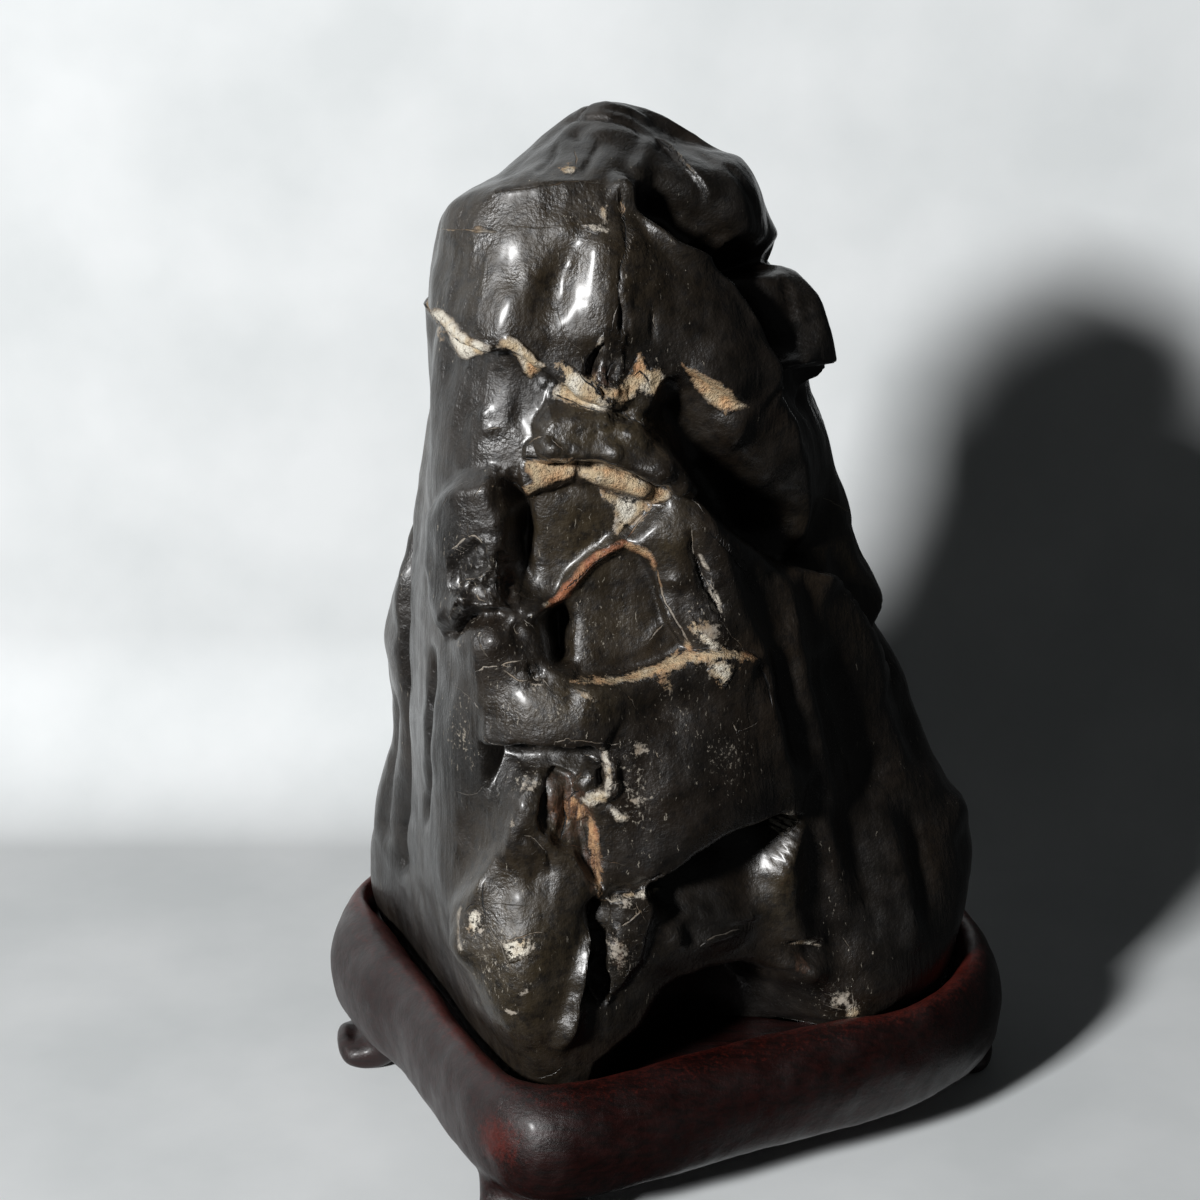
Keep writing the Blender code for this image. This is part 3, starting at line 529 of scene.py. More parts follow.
# The stone's forms. Points of the front drawing are millimetres across from the origin and up from the
# floor, on the sheet. On the back, left and right drawings the first number is the place along X or Y.
FORMS: tuple[Form, ...] = (
    # The summit and its hanging blocks
    Stroke("hollow under the top block", ((-8.5, 242.5), (-4.5, 239.5), (1, 236.5), (5.5, 233.5),
        (9.5, 230), (13, 227)), -9.5, 4.4, 5),
    Swell("top block", (12.5, 240), 9, 9, 3),
    Stroke("edge of the upper face", ((-15, 242.5), (-11.5, 241.5), (-8.5, 239), (-6, 236), (-3.5, 232),
        (-0.5, 229), (3.5, 227.5), (7.5, 226), (11, 223), (14.5, 217.5), (17.5, 213), (21, 209),
        (24, 205)), 3, 2.2, 4),
    Stroke("gully", ((8.5, 231), (12.5, 225.5), (16.5, 219.5), (20, 214), (23.5, 207.5),
        (26, 202.5)), -14, 4.0, 5),
    Stroke("notch over the hanging lump", ((13, 228), (17, 227), (21.5, 226)), -10, 2.4, 3),
    Swell("hanging lump", (26.5, 213.5), 6, 12, 5.5),
    Ledge("foot of the hanging lump", ((22, 204.5), (25.5, 202), (31, 202)), 3, -7, 0.9, 8, 10),
    Stroke("left rib of the upper face", ((-21.5, 238.5), (-23, 234.5), (-25.5, 230), (-27.5, 226),
        (-30.5, 222), (-33.5, 217.5), (-35, 211.5)), 0.8, 3.6),
    Swell("brow over the upper vein", (-36, 207), 5, 7.5, 1.4),
    Stroke("valley of the upper face", ((-21.5, 232.5), (-23, 228), (-24.5, 222.5), (-26, 215.5),
        (-28.5, 209)), -1.3, 3.6),
    Stroke("right rib of the upper face", ((-13, 235.5), (-13.5, 228), (-13.5, 220), (-14.5, 211.5),
        (-15.5, 202.5)), 2.8, 7.5),
    Ledge("upper vein ledge", ((-53.5, 215.5), (-50, 214), (-47, 210), (-43, 206.5), (-38.5, 206),
        (-35, 206.5), (-31, 203.5), (-28, 201), (-24, 198), (-19, 195), (-13.5, 192.5),
        (-7, 193.5)), 2.8, -2.8, 1.3, 14, 13),
    Ledge("short vein ledge", ((1, 202.5), (5.5, 200), (11, 196), (16.5, 192.5)), 1.5, -3, 1, 10, 9),
    Stroke("rib under the short vein", ((11, 192), (13.5, 186), (15.5, 178)), 2.6, 3.2),
    # The channel, the arch boss beside it and the shoulder below
    Stroke("channel", ((-6.5, 194), (-1, 190), (5.5, 183.5), (12.5, 176), (20, 167.5), (28, 158.5)), -9, 7),
    Panel("arch boss", ((-29, 189), (-26.5, 192), (-22, 192.5), (-16, 192), (-10.5, 189.5), (-5.5, 187),
        (-1, 183), (2.5, 179), (6, 174), (4, 172.5), (0.5, 174.5), (-4.5, 177.5), (-10, 179.5),
        (-15.5, 181), (-22, 181.5), (-27, 182.5)), 5.2, 2.2),
    Ledge("lip of the arch boss", ((-33, 181), (-24.5, 181), (-16, 181), (-10.5, 179.5), (-4.5, 177),
        (0, 174), (3.5, 171.5)), 1.4, -2.6, 0.8, 5, 7),
    Ledge("shoulder of the lower mass", ((3.5, 173), (8.5, 169), (13.5, 164.5), (18.5, 161.5), (23.5, 159),
        (27.5, 156), (32, 154.5), (36, 152.5)), -6, 2.6, 1.3, 12, 9),
    Ledge("edge of the right mass", ((27.5, 156), (32, 155), (36, 152.5), (40.5, 147), (45, 140),
        (49, 133), (52, 125.5)), -3.2, 2.4, 0.8, 7, 9),
    Stroke("ridge of the lower mass", ((4, 171.5), (8, 161), (12.5, 150), (17, 138.5), (20, 131.5),
        (22, 122.5), (24.5, 110.5), (27.5, 98.5)), 1.8, 3.6),
    Stroke("flute beside the ridge", ((21.5, 138.5), (26, 123.5), (30, 105.5)), -2, 4),
    Stroke("second ridge", ((17.5, 159.5), (23.5, 151.5), (27, 138.5), (30.5, 123.5), (34.5, 108.5),
        (38.5, 93.5)), 2, 3.6),
    Stroke("valley of the right flank", ((33, 138.5), (40.5, 118.5), (48, 98.5)), -3, 7),
    # The left lumps
    Panel("upper left lump", ((-51.5, 166), (-50, 171), (-47, 174.5), (-44, 176.5), (-40, 177.5),
        (-37.5, 176.5), (-36, 173.5), (-34.5, 169), (-34, 161), (-33.5, 150.5), (-35, 146.5), (-40, 146),
        (-45.5, 145), (-49, 140.5), (-51, 147), (-52, 157.5)), 5.2, 2.4),
    Stroke("cleft", ((-39, 177.5), (-36, 174.5), (-34, 169.5), (-33.5, 163.5), (-34, 157.5),
        (-33.5, 151.5), (-32, 147)), -8.5, 2.1),
    Swell("lower left lump", (-39.5, 137.5), 8, 9, 6.2),
    Stroke("crease between the lumps", ((-50.5, 140), (-47, 141), (-44, 144), (-41, 146), (-37.5, 145.5),
        (-35, 143.5)), -3.6, 1.5, 4),
    Swell("knob", (-30, 145), 3.4, 3.6, 4.6),
    Stroke("dark pocket", ((-27.5, 147), (-25.5, 142), (-25, 136.5), (-25, 130.5)), -8, 2.8, 4),
    # The recess between the lumps and the right rib
    Panel("upper face of the recess", ((-32.5, 173.5), (-28, 174.5), (-21.5, 175.5), (-14, 174),
        (-6, 171.5), (-2, 170), (-4.5, 166.5), (-8.5, 162.5), (-13.5, 161), (-18, 157), (-22.5, 152),
        (-26.5, 147), (-28.5, 146.5), (-31.5, 148), (-32, 156.5), (-32.5, 165)), -3.6, 2.2),
    Panel("lower face of the recess", ((-26.5, 146), (-21.5, 151), (-18, 155.5), (-13.5, 159),
        (-10, 160.5), (-6, 159), (-4, 155), (-2.5, 149), (0, 142.5), (4, 136), (-2.5, 132), (-9.5, 130),
        (-16, 129), (-21.5, 128.5), (-26, 132.5), (-27, 140.5)), -2.8, 1.8),
    Stroke("rib right of the recess", ((-2, 169.5), (0.5, 164.5), (2, 157.5), (5, 148), (9, 140.5),
        (14, 135.5)), 1.6, 4.4),
    Ledge("lower vein ledge", ((-23.5, 128.5), (-16, 128), (-7, 130), (-1.5, 132), (4, 134.5),
        (9.5, 135.5), (15, 135), (19, 133.5)), -1.4, 1.8, 0.9, 4, 9, 4),
    Swell("dip under the lower vein", (-3, 121.5), 8, 4, -2.2),
    # The boss with its ledge, the upright edge and the middle mass
    Swell("boss", (-27.5, 122), 16, 8.5, 3.8),
    Ledge("ledge under the boss", ((-43, 113.5), (-38.5, 112.5), (-32, 112.5), (-25, 113), (-18.5, 113.5),
        (-15, 111.5)), 2, -6.4, 0.6, 6, 8, 3),
    Stroke("upright edge", ((-15, 111.5), (-14, 107.5), (-14, 102.5), (-15, 98.5)), 2, 1.5, 3),
    Swell("middle mass", (2, 106), 20, 22, 4),
    Ledge("overhang", ((-6.5, 74.5), (-2, 78), (7, 86), (16, 92), (26.5, 95.5),
        (30, 94.5)), 2.5, -12, 1.4, 14, 13, 4),
    Swell("hollow under the overhang", (13, 81), 11, 8, -6),
    Swell("shelf", (7.5, 63.5), 15, 7, 3.5),
    Stroke("lip of the shelf", ((0, 60), (1, 66), (4.5, 69), (10.5, 69.5), (17, 69.5),
        (22.5, 72)), 1.6, 1.6, 5),
    Stroke("right pillar", ((25.5, 94.5), (26, 80.5), (28, 67.5), (31.5, 56.5), (35, 45.5)), 4.2, 5),
    # The lower left lobe and what splits from it
    Swell("lower left lobe", (-36.5, 53), 17, 22, 4.2),
    Stroke("edge of the lobe", ((-17.5, 69.5), (-19.5, 61), (-21.5, 53), (-22.5, 45), (-24.5, 37.5),
        (-26.5, 29.5)), 3.2, 2.2),
    Stroke("rib above the lobe", ((-31.5, 104.5), (-33, 98.5), (-34.5, 92.5), (-37.5, 86), (-41, 80),
        (-45, 74.5), (-50, 67.5)), 1.2, 3),
    Swell("upper shoulder of the lobe", (-34, 92.5), 3.5, 10, 1.9),
    Swell("shoulder of the lobe", (-42.5, 75), 4.5, 7, 2.2),
    Swell("left corner of the lobe", (-45.5, 63.5), 6, 7, 4.5),
    Stroke("hollow over the lobe", ((-31, 87), (-30, 79.5), (-31, 71.5)), -1.8, 4.2),
    Swell("dip left of the rib", (-46, 93.5), 9, 17, -2),
    Panel("split core", ((-29.5, 103), (-26, 106), (-22, 104), (-18.5, 98.5), (-16.5, 89), (-15.5, 76),
        (-18.5, 78), (-22, 85.5), (-27, 87), (-30, 94)), -2.6, 0.8),
    Panel("facet right of the crevice", ((-15, 73.5), (-10, 74.5), (-3, 76), (-4.5, 69), (-7.5, 59.5),
        (-11.5, 50.5), (-14.5, 45.5), (-15.5, 57)), 1.5, 0.7),
    # The flanks
    Stroke("left flute", ((-56, 178.5), (-58, 167), (-59.5, 148), (-59.5, 123.5), (-60.5, 98.5),
        (-63, 78)), -3.6, 2.6),
    Stroke("short left flute", ((-53.5, 138.5), (-54.5, 123.5), (-55, 108.5), (-56, 91)), -2.2, 1.8),
    Stroke("outer left flute", ((-62, 126), (-63.5, 108.5), (-66, 86)), -2.4, 2.6),
    Stroke("upper right rib", ((18, 209), (22.5, 200.5), (26, 186), (29, 171.5), (31.5, 156.5)), 2.5, 3.5),
    Stroke("right edge bulge", ((62.5, 102.5), (67, 88.5)), 2, 8),
    Stroke("first right flute", ((34, 98.5), (37.5, 83.5), (41.5, 64.5)), 1.6, 2.6),
    Stroke("second right flute", ((39.5, 100), (44.5, 81), (50, 61)), -1.8, 3.2),
    Stroke("third right flute", ((46, 101), (51.5, 85.5), (56, 66.5), (57.5, 56.5)), 1.8, 3),
    Stroke("fourth right flute", ((53.5, 100), (57.5, 83.5), (60, 65)), -1.6, 3),
    Swell("dark oval of the right flank", (41.5, 161), 2.4, 6, -1.6),
    # Where the base draws in over the recess of the stand
    Panel("cave", ((-17, 19), (-15, 27.5), (-6.5, 35), (-0.5, 45), (5, 51), (17, 54), (28.5, 52),
        (34, 46.5), (39, 38.5), (45.5, 37), (46, 19)), -20, 3.5, True),
    Panel("gap over the right rim", ((43, 37.5), (55, 43), (69.5, 53), (76, 46.5), (55.5, 24.5),
        (43.5, 24.5)), -5, 3, True),
    # The back
    Ledge("upper back ledge", ((28, 182), (12, 192), (-5, 188), (-25, 197),
        (-42, 190)), 2.5, -3, 2, 12, 14, 8, View.BACK),
    Stroke("back valley", ((-20, 225), (-24, 195), (-18, 160), (-26, 120),
        (-22, 80)), -4.5, 8, 12, View.BACK),
    Stroke("back rib", ((8, 215), (10, 180), (16, 140), (14, 95), (24, 55)), 4, 9, 12, View.BACK),
    Swell("back boss", (-44, 112), 14, 20, 5, View.BACK),
    Swell("back hollow", (38, 92), 12, 18, -5, View.BACK),
    Swell("middle back boss", (0, 150), 12, 10, 3.5, View.BACK),
    Ledge("lower back ledge", ((58, 68), (34, 62), (10, 72), (-12, 66), (-40, 76),
        (-62, 70)), 3, -4, 2.4, 14, 12, 8, View.BACK),
    Stroke("left back flute", ((-34, 180), (-40, 150), (-38, 126)), -2.2, 3, 8, View.BACK),
    Stroke("right back flute", ((34, 150), (42, 120), (40, 96)), 2.4, 4, 8, View.BACK),
    Ledge("middle back ledge", ((-30, 132), (-14, 126), (2, 134),
        (20, 128)), 1.6, -2.2, 1.4, 9, 10, 7, View.BACK),
    Swell("first back pit", (-16, 92), 4, 5, -2, View.BACK),
    Swell("second back pit", (20, 164), 3.5, 6, -2, View.BACK),
    Swell("low back boss", (-20, 54), 13, 8, 2.4, View.BACK),
    Stroke("short back groove", ((-5, 120), (1, 100), (-4, 78)), -3, 4.5, 8, View.BACK),
    # The sides
    Stroke("notch seen from the right", ((-14, 217), (0, 215.5), (12, 213),
        (24, 209)), -6, 2.8, 5, View.RIGHT),
    Stroke("front groove of the right side", ((-2, 162), (4, 120), (2, 82)), -2.5, 5, 12, View.RIGHT),
    Stroke("middle groove of the right side", ((20, 172), (28, 120), (24, 70)), -3.5, 6, 12, View.RIGHT),
    Stroke("back groove of the right side", ((36, 125), (45, 85), (42, 52)), -3, 5, 12, View.RIGHT),
    Ledge("upper right side ledge", ((-8, 182), (10, 186), (26, 178)), 1.8, -2.6, 1.5, 9, 11, 7, View.RIGHT),
    Ledge("right side ledge", ((4, 120), (18, 126), (34, 114), (46, 118)), 2, -3, 2.2, 10, 12, 8, View.RIGHT),
    Swell("right side boss", (14, 62), 10, 14, 3, View.RIGHT),
    Ledge("vein ledge of the left side", ((-20, 205), (-6, 202), (6, 205),
        (20, 200)), 1.4, -1.8, 1.1, 10, 10, 6, View.LEFT),
    Stroke("low groove of the left side", ((2, 96), (8, 74), (4, 54)), -2.2, 3.4, 8, View.LEFT),
    Stroke("upper groove of the left side", ((14, 205), (16, 155), (12, 112)), -2.5, 5, 12, View.LEFT),
    Stroke("back groove of the left side", ((28, 195), (35, 150), (41, 100),
        (46, 60)), -3.5, 6, 12, View.LEFT),
    Ledge("left side ledge", ((38, 134), (26, 142), (12, 137)), 2, -3, 2.2, 10, 12, 8, View.LEFT),
    Swell("left side boss", (32, 108), 9, 16, 3, View.LEFT),
)
FINE_FORMS: tuple[Form, ...] = (
    # The summit: its shoulder line, the cap, and the crack of the top block
    Stroke("shoulder line", ((-41.5, 239.5), (-37, 240.5), (-31.5, 241), (-26.5, 242), (-20, 242.5),
        (-14.5, 242)), 0.9, 1.3, 6, sharp=True),
    Stroke("groove round the cap", ((-24.5, 255), (-19.5, 256), (-14.5, 255.5), (-9.5, 254),
        (-5.5, 251.5)), -0.9, 1.1, 4),
    Stroke("cap", ((-22, 256.5), (-16, 258), (-10, 257), (-4.5, 254)), 0.9, 1.4, 4),
    Swell("bump of the slope", (-16, 252.5), 2.6, 1.8, 0.9),
    Swell("dip of the slope", (-21, 252), 2.2, 1.8, -0.9),
    Stroke("left furrow of the slope", ((-24, 251.5), (-26.5, 247), (-30, 243)), -0.6, 1.1, 4),
    Stroke("middle furrow of the slope", ((-15.5, 251), (-18, 247.5), (-20, 243.5)), -0.6, 1.1, 4),
    Stroke("corner of the slope", ((-5, 252), (-7, 247.5), (-9.5, 243)), 0.9, 2, 4),
    Ledge("crack of the top block", ((-5, 252), (-2, 250), (1, 247), (3.5, 244), (5.5, 241),
        (7, 237.5)), 0.9, -0.5, 0.3, 4, 3, 3),
    Stroke("first back crack", ((-40, 168), (-28, 160), (-20, 148),
        (-6, 142)), -1.3, 0.9, 4, View.BACK, sharp=True),
    Stroke("second back crack", ((28, 118), (22, 104), (26, 90),
        (20, 78)), -1.3, 0.9, 4, View.BACK, sharp=True),
    Stroke("crack of the left side", ((26, 180), (20, 166), (24, 150)), -1.2, 0.9, 4, View.LEFT, sharp=True),
    Stroke("crack of the right side", ((8, 150), (16, 138), (14, 122)), -1.2, 0.9, 4, View.RIGHT, sharp=True),
    Stroke("first furrow of the hanging lump", ((21.5, 222), (24.5, 214.5), (26.5, 204)), -1, 1.1, 4),
    Stroke("second furrow of the hanging lump", ((26.5, 219), (29, 212), (30, 204.5)), -0.8, 1, 4),
    Stroke("furrow of the top block", ((9.5, 247), (14.5, 240.5), (17.5, 233)), -0.7, 1.4, 4),
    Stroke("crack of the upper face", ((-12, 241.5), (-11, 237), (-10.5, 230), (-11.5, 224.5), (-12, 219),
        (-11.5, 213), (-12, 207)), -0.9, 0.8, 4, sharp=True),
    Panel("slit of the upper face", ((-11.5, 217), (-10, 214), (-10, 210.5), (-11.5, 210),
        (-12, 213.5)), -1, 0.5),
    Stroke("right furrow of the upper face", ((-5, 215.5), (-4.5, 211.5), (-5, 207)), -0.7, 0.8, 3),
    # The upper vein stands a little proud, and broken stone with dark holes runs along it
    Panel("raised end of the upper vein", ((-52.5, 214.5), (-49, 214), (-45.5, 210), (-41, 207),
        (-38.5, 206), (-42.5, 204.5), (-46, 204.5), (-48.5, 209), (-50, 211.5)), 0.9, 0.5),
    Panel("middle of the upper vein", ((-38.5, 206), (-35.5, 209), (-32.5, 207), (-29, 203.5), (-30, 201),
        (-32.5, 200.5), (-35.5, 205.5)), 0.5, 0.5),
    Panel("dark hole in the vein", ((-19.5, 200), (-18.5, 203.5), (-15, 207), (-16, 203.5),
        (-17.5, 199.5)), -3.4, 0.7),
    Panel("slit in the vein", ((-17.5, 199), (-15.5, 197), (-13.5, 195), (-15.5, 195)), -2, 0.5),
    Swell("hollow between the veins", (-1.5, 197), 3, 3, -2),
    Stroke("crystalline crack", ((-15.5, 194), (-11, 191.5), (-7, 188.5),
        (-3, 185.5)), -1.2, 0.9, 3, sharp=True),
    Panel("crystal over the crack", ((-10, 192.5), (-7.5, 191.5), (-5, 189), (-6, 187.5),
        (-8, 188.5)), 0.8, 0.5),
    Swell("first wrinkle under the vein", (-40, 188), 3.2, 1.2, 0.4, turn=15),
    Swell("second wrinkle under the vein", (-41, 191.5), 1.6, 2, 0.6),
    Swell("third wrinkle under the vein", (-33.5, 190), 2, 3, -0.7),
    # The arch boss
    Panel("glassy end of the arch boss", ((-32.5, 181), (-32, 184), (-30, 185.5), (-27.5, 186),
        (-25.5, 184.5), (-23.5, 182.5), (-22.5, 181), (-27, 181)), 1.3, 0.6),
    Swell("first bump of the lip", (-12.5, 182.5), 2, 1.4, 1.3),
    Swell("second bump of the lip", (-3, 177.5), 3.4, 3, 2.2),
    Swell("third bump of the lip", (1.5, 174.5), 1.5, 2.4, 1.8),
    Panel("tongue", ((-33, 180), (-28, 181), (-22, 181), (-21, 179), (-22, 176.5), (-25.5, 175),
        (-29, 174.5), (-31.5, 173), (-33, 175)), 1, 0.8),
    Stroke("band under the arch boss", ((-20.5, 179), (-15, 178), (-9.5, 176), (-3.5, 173)), 1.9, 2, 4),
    Stroke("groove under the band", ((-21, 176), (-16, 174), (-10.5, 172.5), (-4, 170.5)), -1, 0.8, 4),
    # The left lumps
    Panel("sunken facet", ((-49, 158), (-45.5, 160), (-43.5, 162), (-41.5, 160.5), (-40.5, 156.5),
        (-42.5, 154), (-46.5, 152.5), (-48, 149.5), (-49.5, 151)), -2, 0.5),
    Panel("brown facet", ((-40.5, 155.5), (-38, 159.5), (-35, 158), (-34.5, 152.5), (-35, 147),
        (-38, 146.5), (-40.5, 148.5), (-42, 151.5), (-41.5, 154)), -1.6, 0.5),
    Panel("dark facet", ((-46, 152), (-43.5, 152.5), (-41.5, 150.5), (-40.5, 147), (-43, 147.5),
        (-45.5, 148.5)), -2.2, 0.4),
    Panel("silver facet", ((-49, 148), (-46.5, 150.5), (-45, 148.5), (-45.5, 145), (-48, 141),
        (-50, 142)), 1.2, 0.6),
    Swell("shine of the lower lump", (-39.5, 138), 2.4, 2.6, 0.9),
    Stroke("first slit by the pocket", ((-32.5, 133), (-31, 130.5), (-29.5, 127.5)), -2, 0.8, 2, sharp=True),
    Stroke("second slit by the pocket", ((-30.5, 133.5), (-29, 131),
        (-27.5, 128.5)), -1.4, 0.7, 2, sharp=True),
    Swell("curl under the knob", (-34, 141), 1.4, 2, -1),
    # The recess
    Stroke("rusty vein's ridge", ((-28, 146.5), (-22.5, 152), (-18, 157), (-14.5, 159.5),
        (-10.5, 162)), 1.0, 1.5, 3),
    Stroke("thin vein's ridge", ((-4, 155.5), (-2.5, 150), (0, 144), (4, 137)), 1, 0.9, 3),
    Swell("shine of the lower face", (-3.5, 140.5), 1.1, 3.4, 0.6, turn=-42),
    Swell("shine of the right rib", (1.5, 152.5), 2.6, 1.6, 0.9),
    Stroke("jagged crack", ((4, 165.5), (4.5, 160.5), (6, 155), (8, 150.5), (10.5, 146.5),
        (11.5, 143.5)), -2.6, 0.9, 3, sharp=True),
    Stroke("first furrow of the shoulder", ((6, 165), (11, 161), (15.5, 154.5),
        (19, 148)), -0.9, 0.7, 5, sharp=True),
    Stroke("second furrow of the shoulder", ((10, 164), (15, 158.5), (18.5, 152.5),
        (21.5, 147)), -0.6, 0.6, 5, sharp=True),
    Stroke("third furrow of the shoulder", ((18, 160.5), (22, 154), (24.5, 145), (26.5, 136)), -0.8, 0.9, 6),
    Stroke("dark joint of the ridge", ((18, 134.5), (21, 129), (23, 121)), -1.6, 0.9, 4, sharp=True),
    # The boss, the split core and the crevice
    Panel("hole by the upright edge", ((-19.5, 111), (-18, 111), (-15.5, 107.5), (-15, 102.5),
        (-16.5, 101.5), (-17.5, 105.5)), -3.4, 0.6),
    Panel("undercut right of the boss", ((-37, 111), (-25, 111.5), (-19, 111), (-18, 107.5), (-21.5, 104),
        (-28.5, 105.5), (-34, 106.5)), -0.8, 0.8),
    Stroke("first slat of the core", ((-28.5, 102.5), (-29.5, 95.5), (-28, 88.5)), -1.6, 0.8, 3, sharp=True),
    Stroke("second slat of the core", ((-24.5, 103), (-24, 94), (-25, 85.5)), -1.6, 0.8, 3, sharp=True),
    Stroke("third slat of the core", ((-27, 103.5), (-26.5, 96), (-26.5, 89)), 0.8, 0.8, 3),
    Stroke("fourth slat of the core", ((-18.5, 95.5), (-16.5, 86), (-16, 75)), 0.9, 0.9, 4),
    Stroke("fifth slat of the core", ((-21.5, 98.5), (-21, 91), (-19.5, 82.5)), -0.8, 0.8, 3),
    Stroke("crease over the lobe", ((-36, 89), (-32, 89), (-28.5, 86), (-27, 79.5)), -0.9, 0.9, 3),
    Stroke("crevice of the lobe", ((-17, 74.5), (-16, 65), (-15.5, 54.5),
        (-16, 43.5)), -8, 2.1, 5, sharp=True),
    Stroke("crack over the facet", ((-16, 73.5), (-12, 74.5), (-6.5, 75.5), (-3, 77.5),
        (0.5, 80)), -2.6, 1, 3, sharp=True),
    Stroke("second lip of the shelf", ((5.5, 59), (9, 62), (13, 63.5), (18, 65.5)), 0.9, 1, 3),
    Swell("chalky top of the pillar", (26, 93), 3, 2.6, 1.2),
    Ledge("foot of the pillar", ((26, 60.5), (28.5, 62), (31.5, 62), (34, 62),
        (36.5, 60)), 0.9, -3, 0.8, 4, 8, 3),
    Stroke("foot crack", ((35.5, 50.5), (39.5, 46.5), (43.5, 40.5)), -1, 0.9, 3, sharp=True),
)
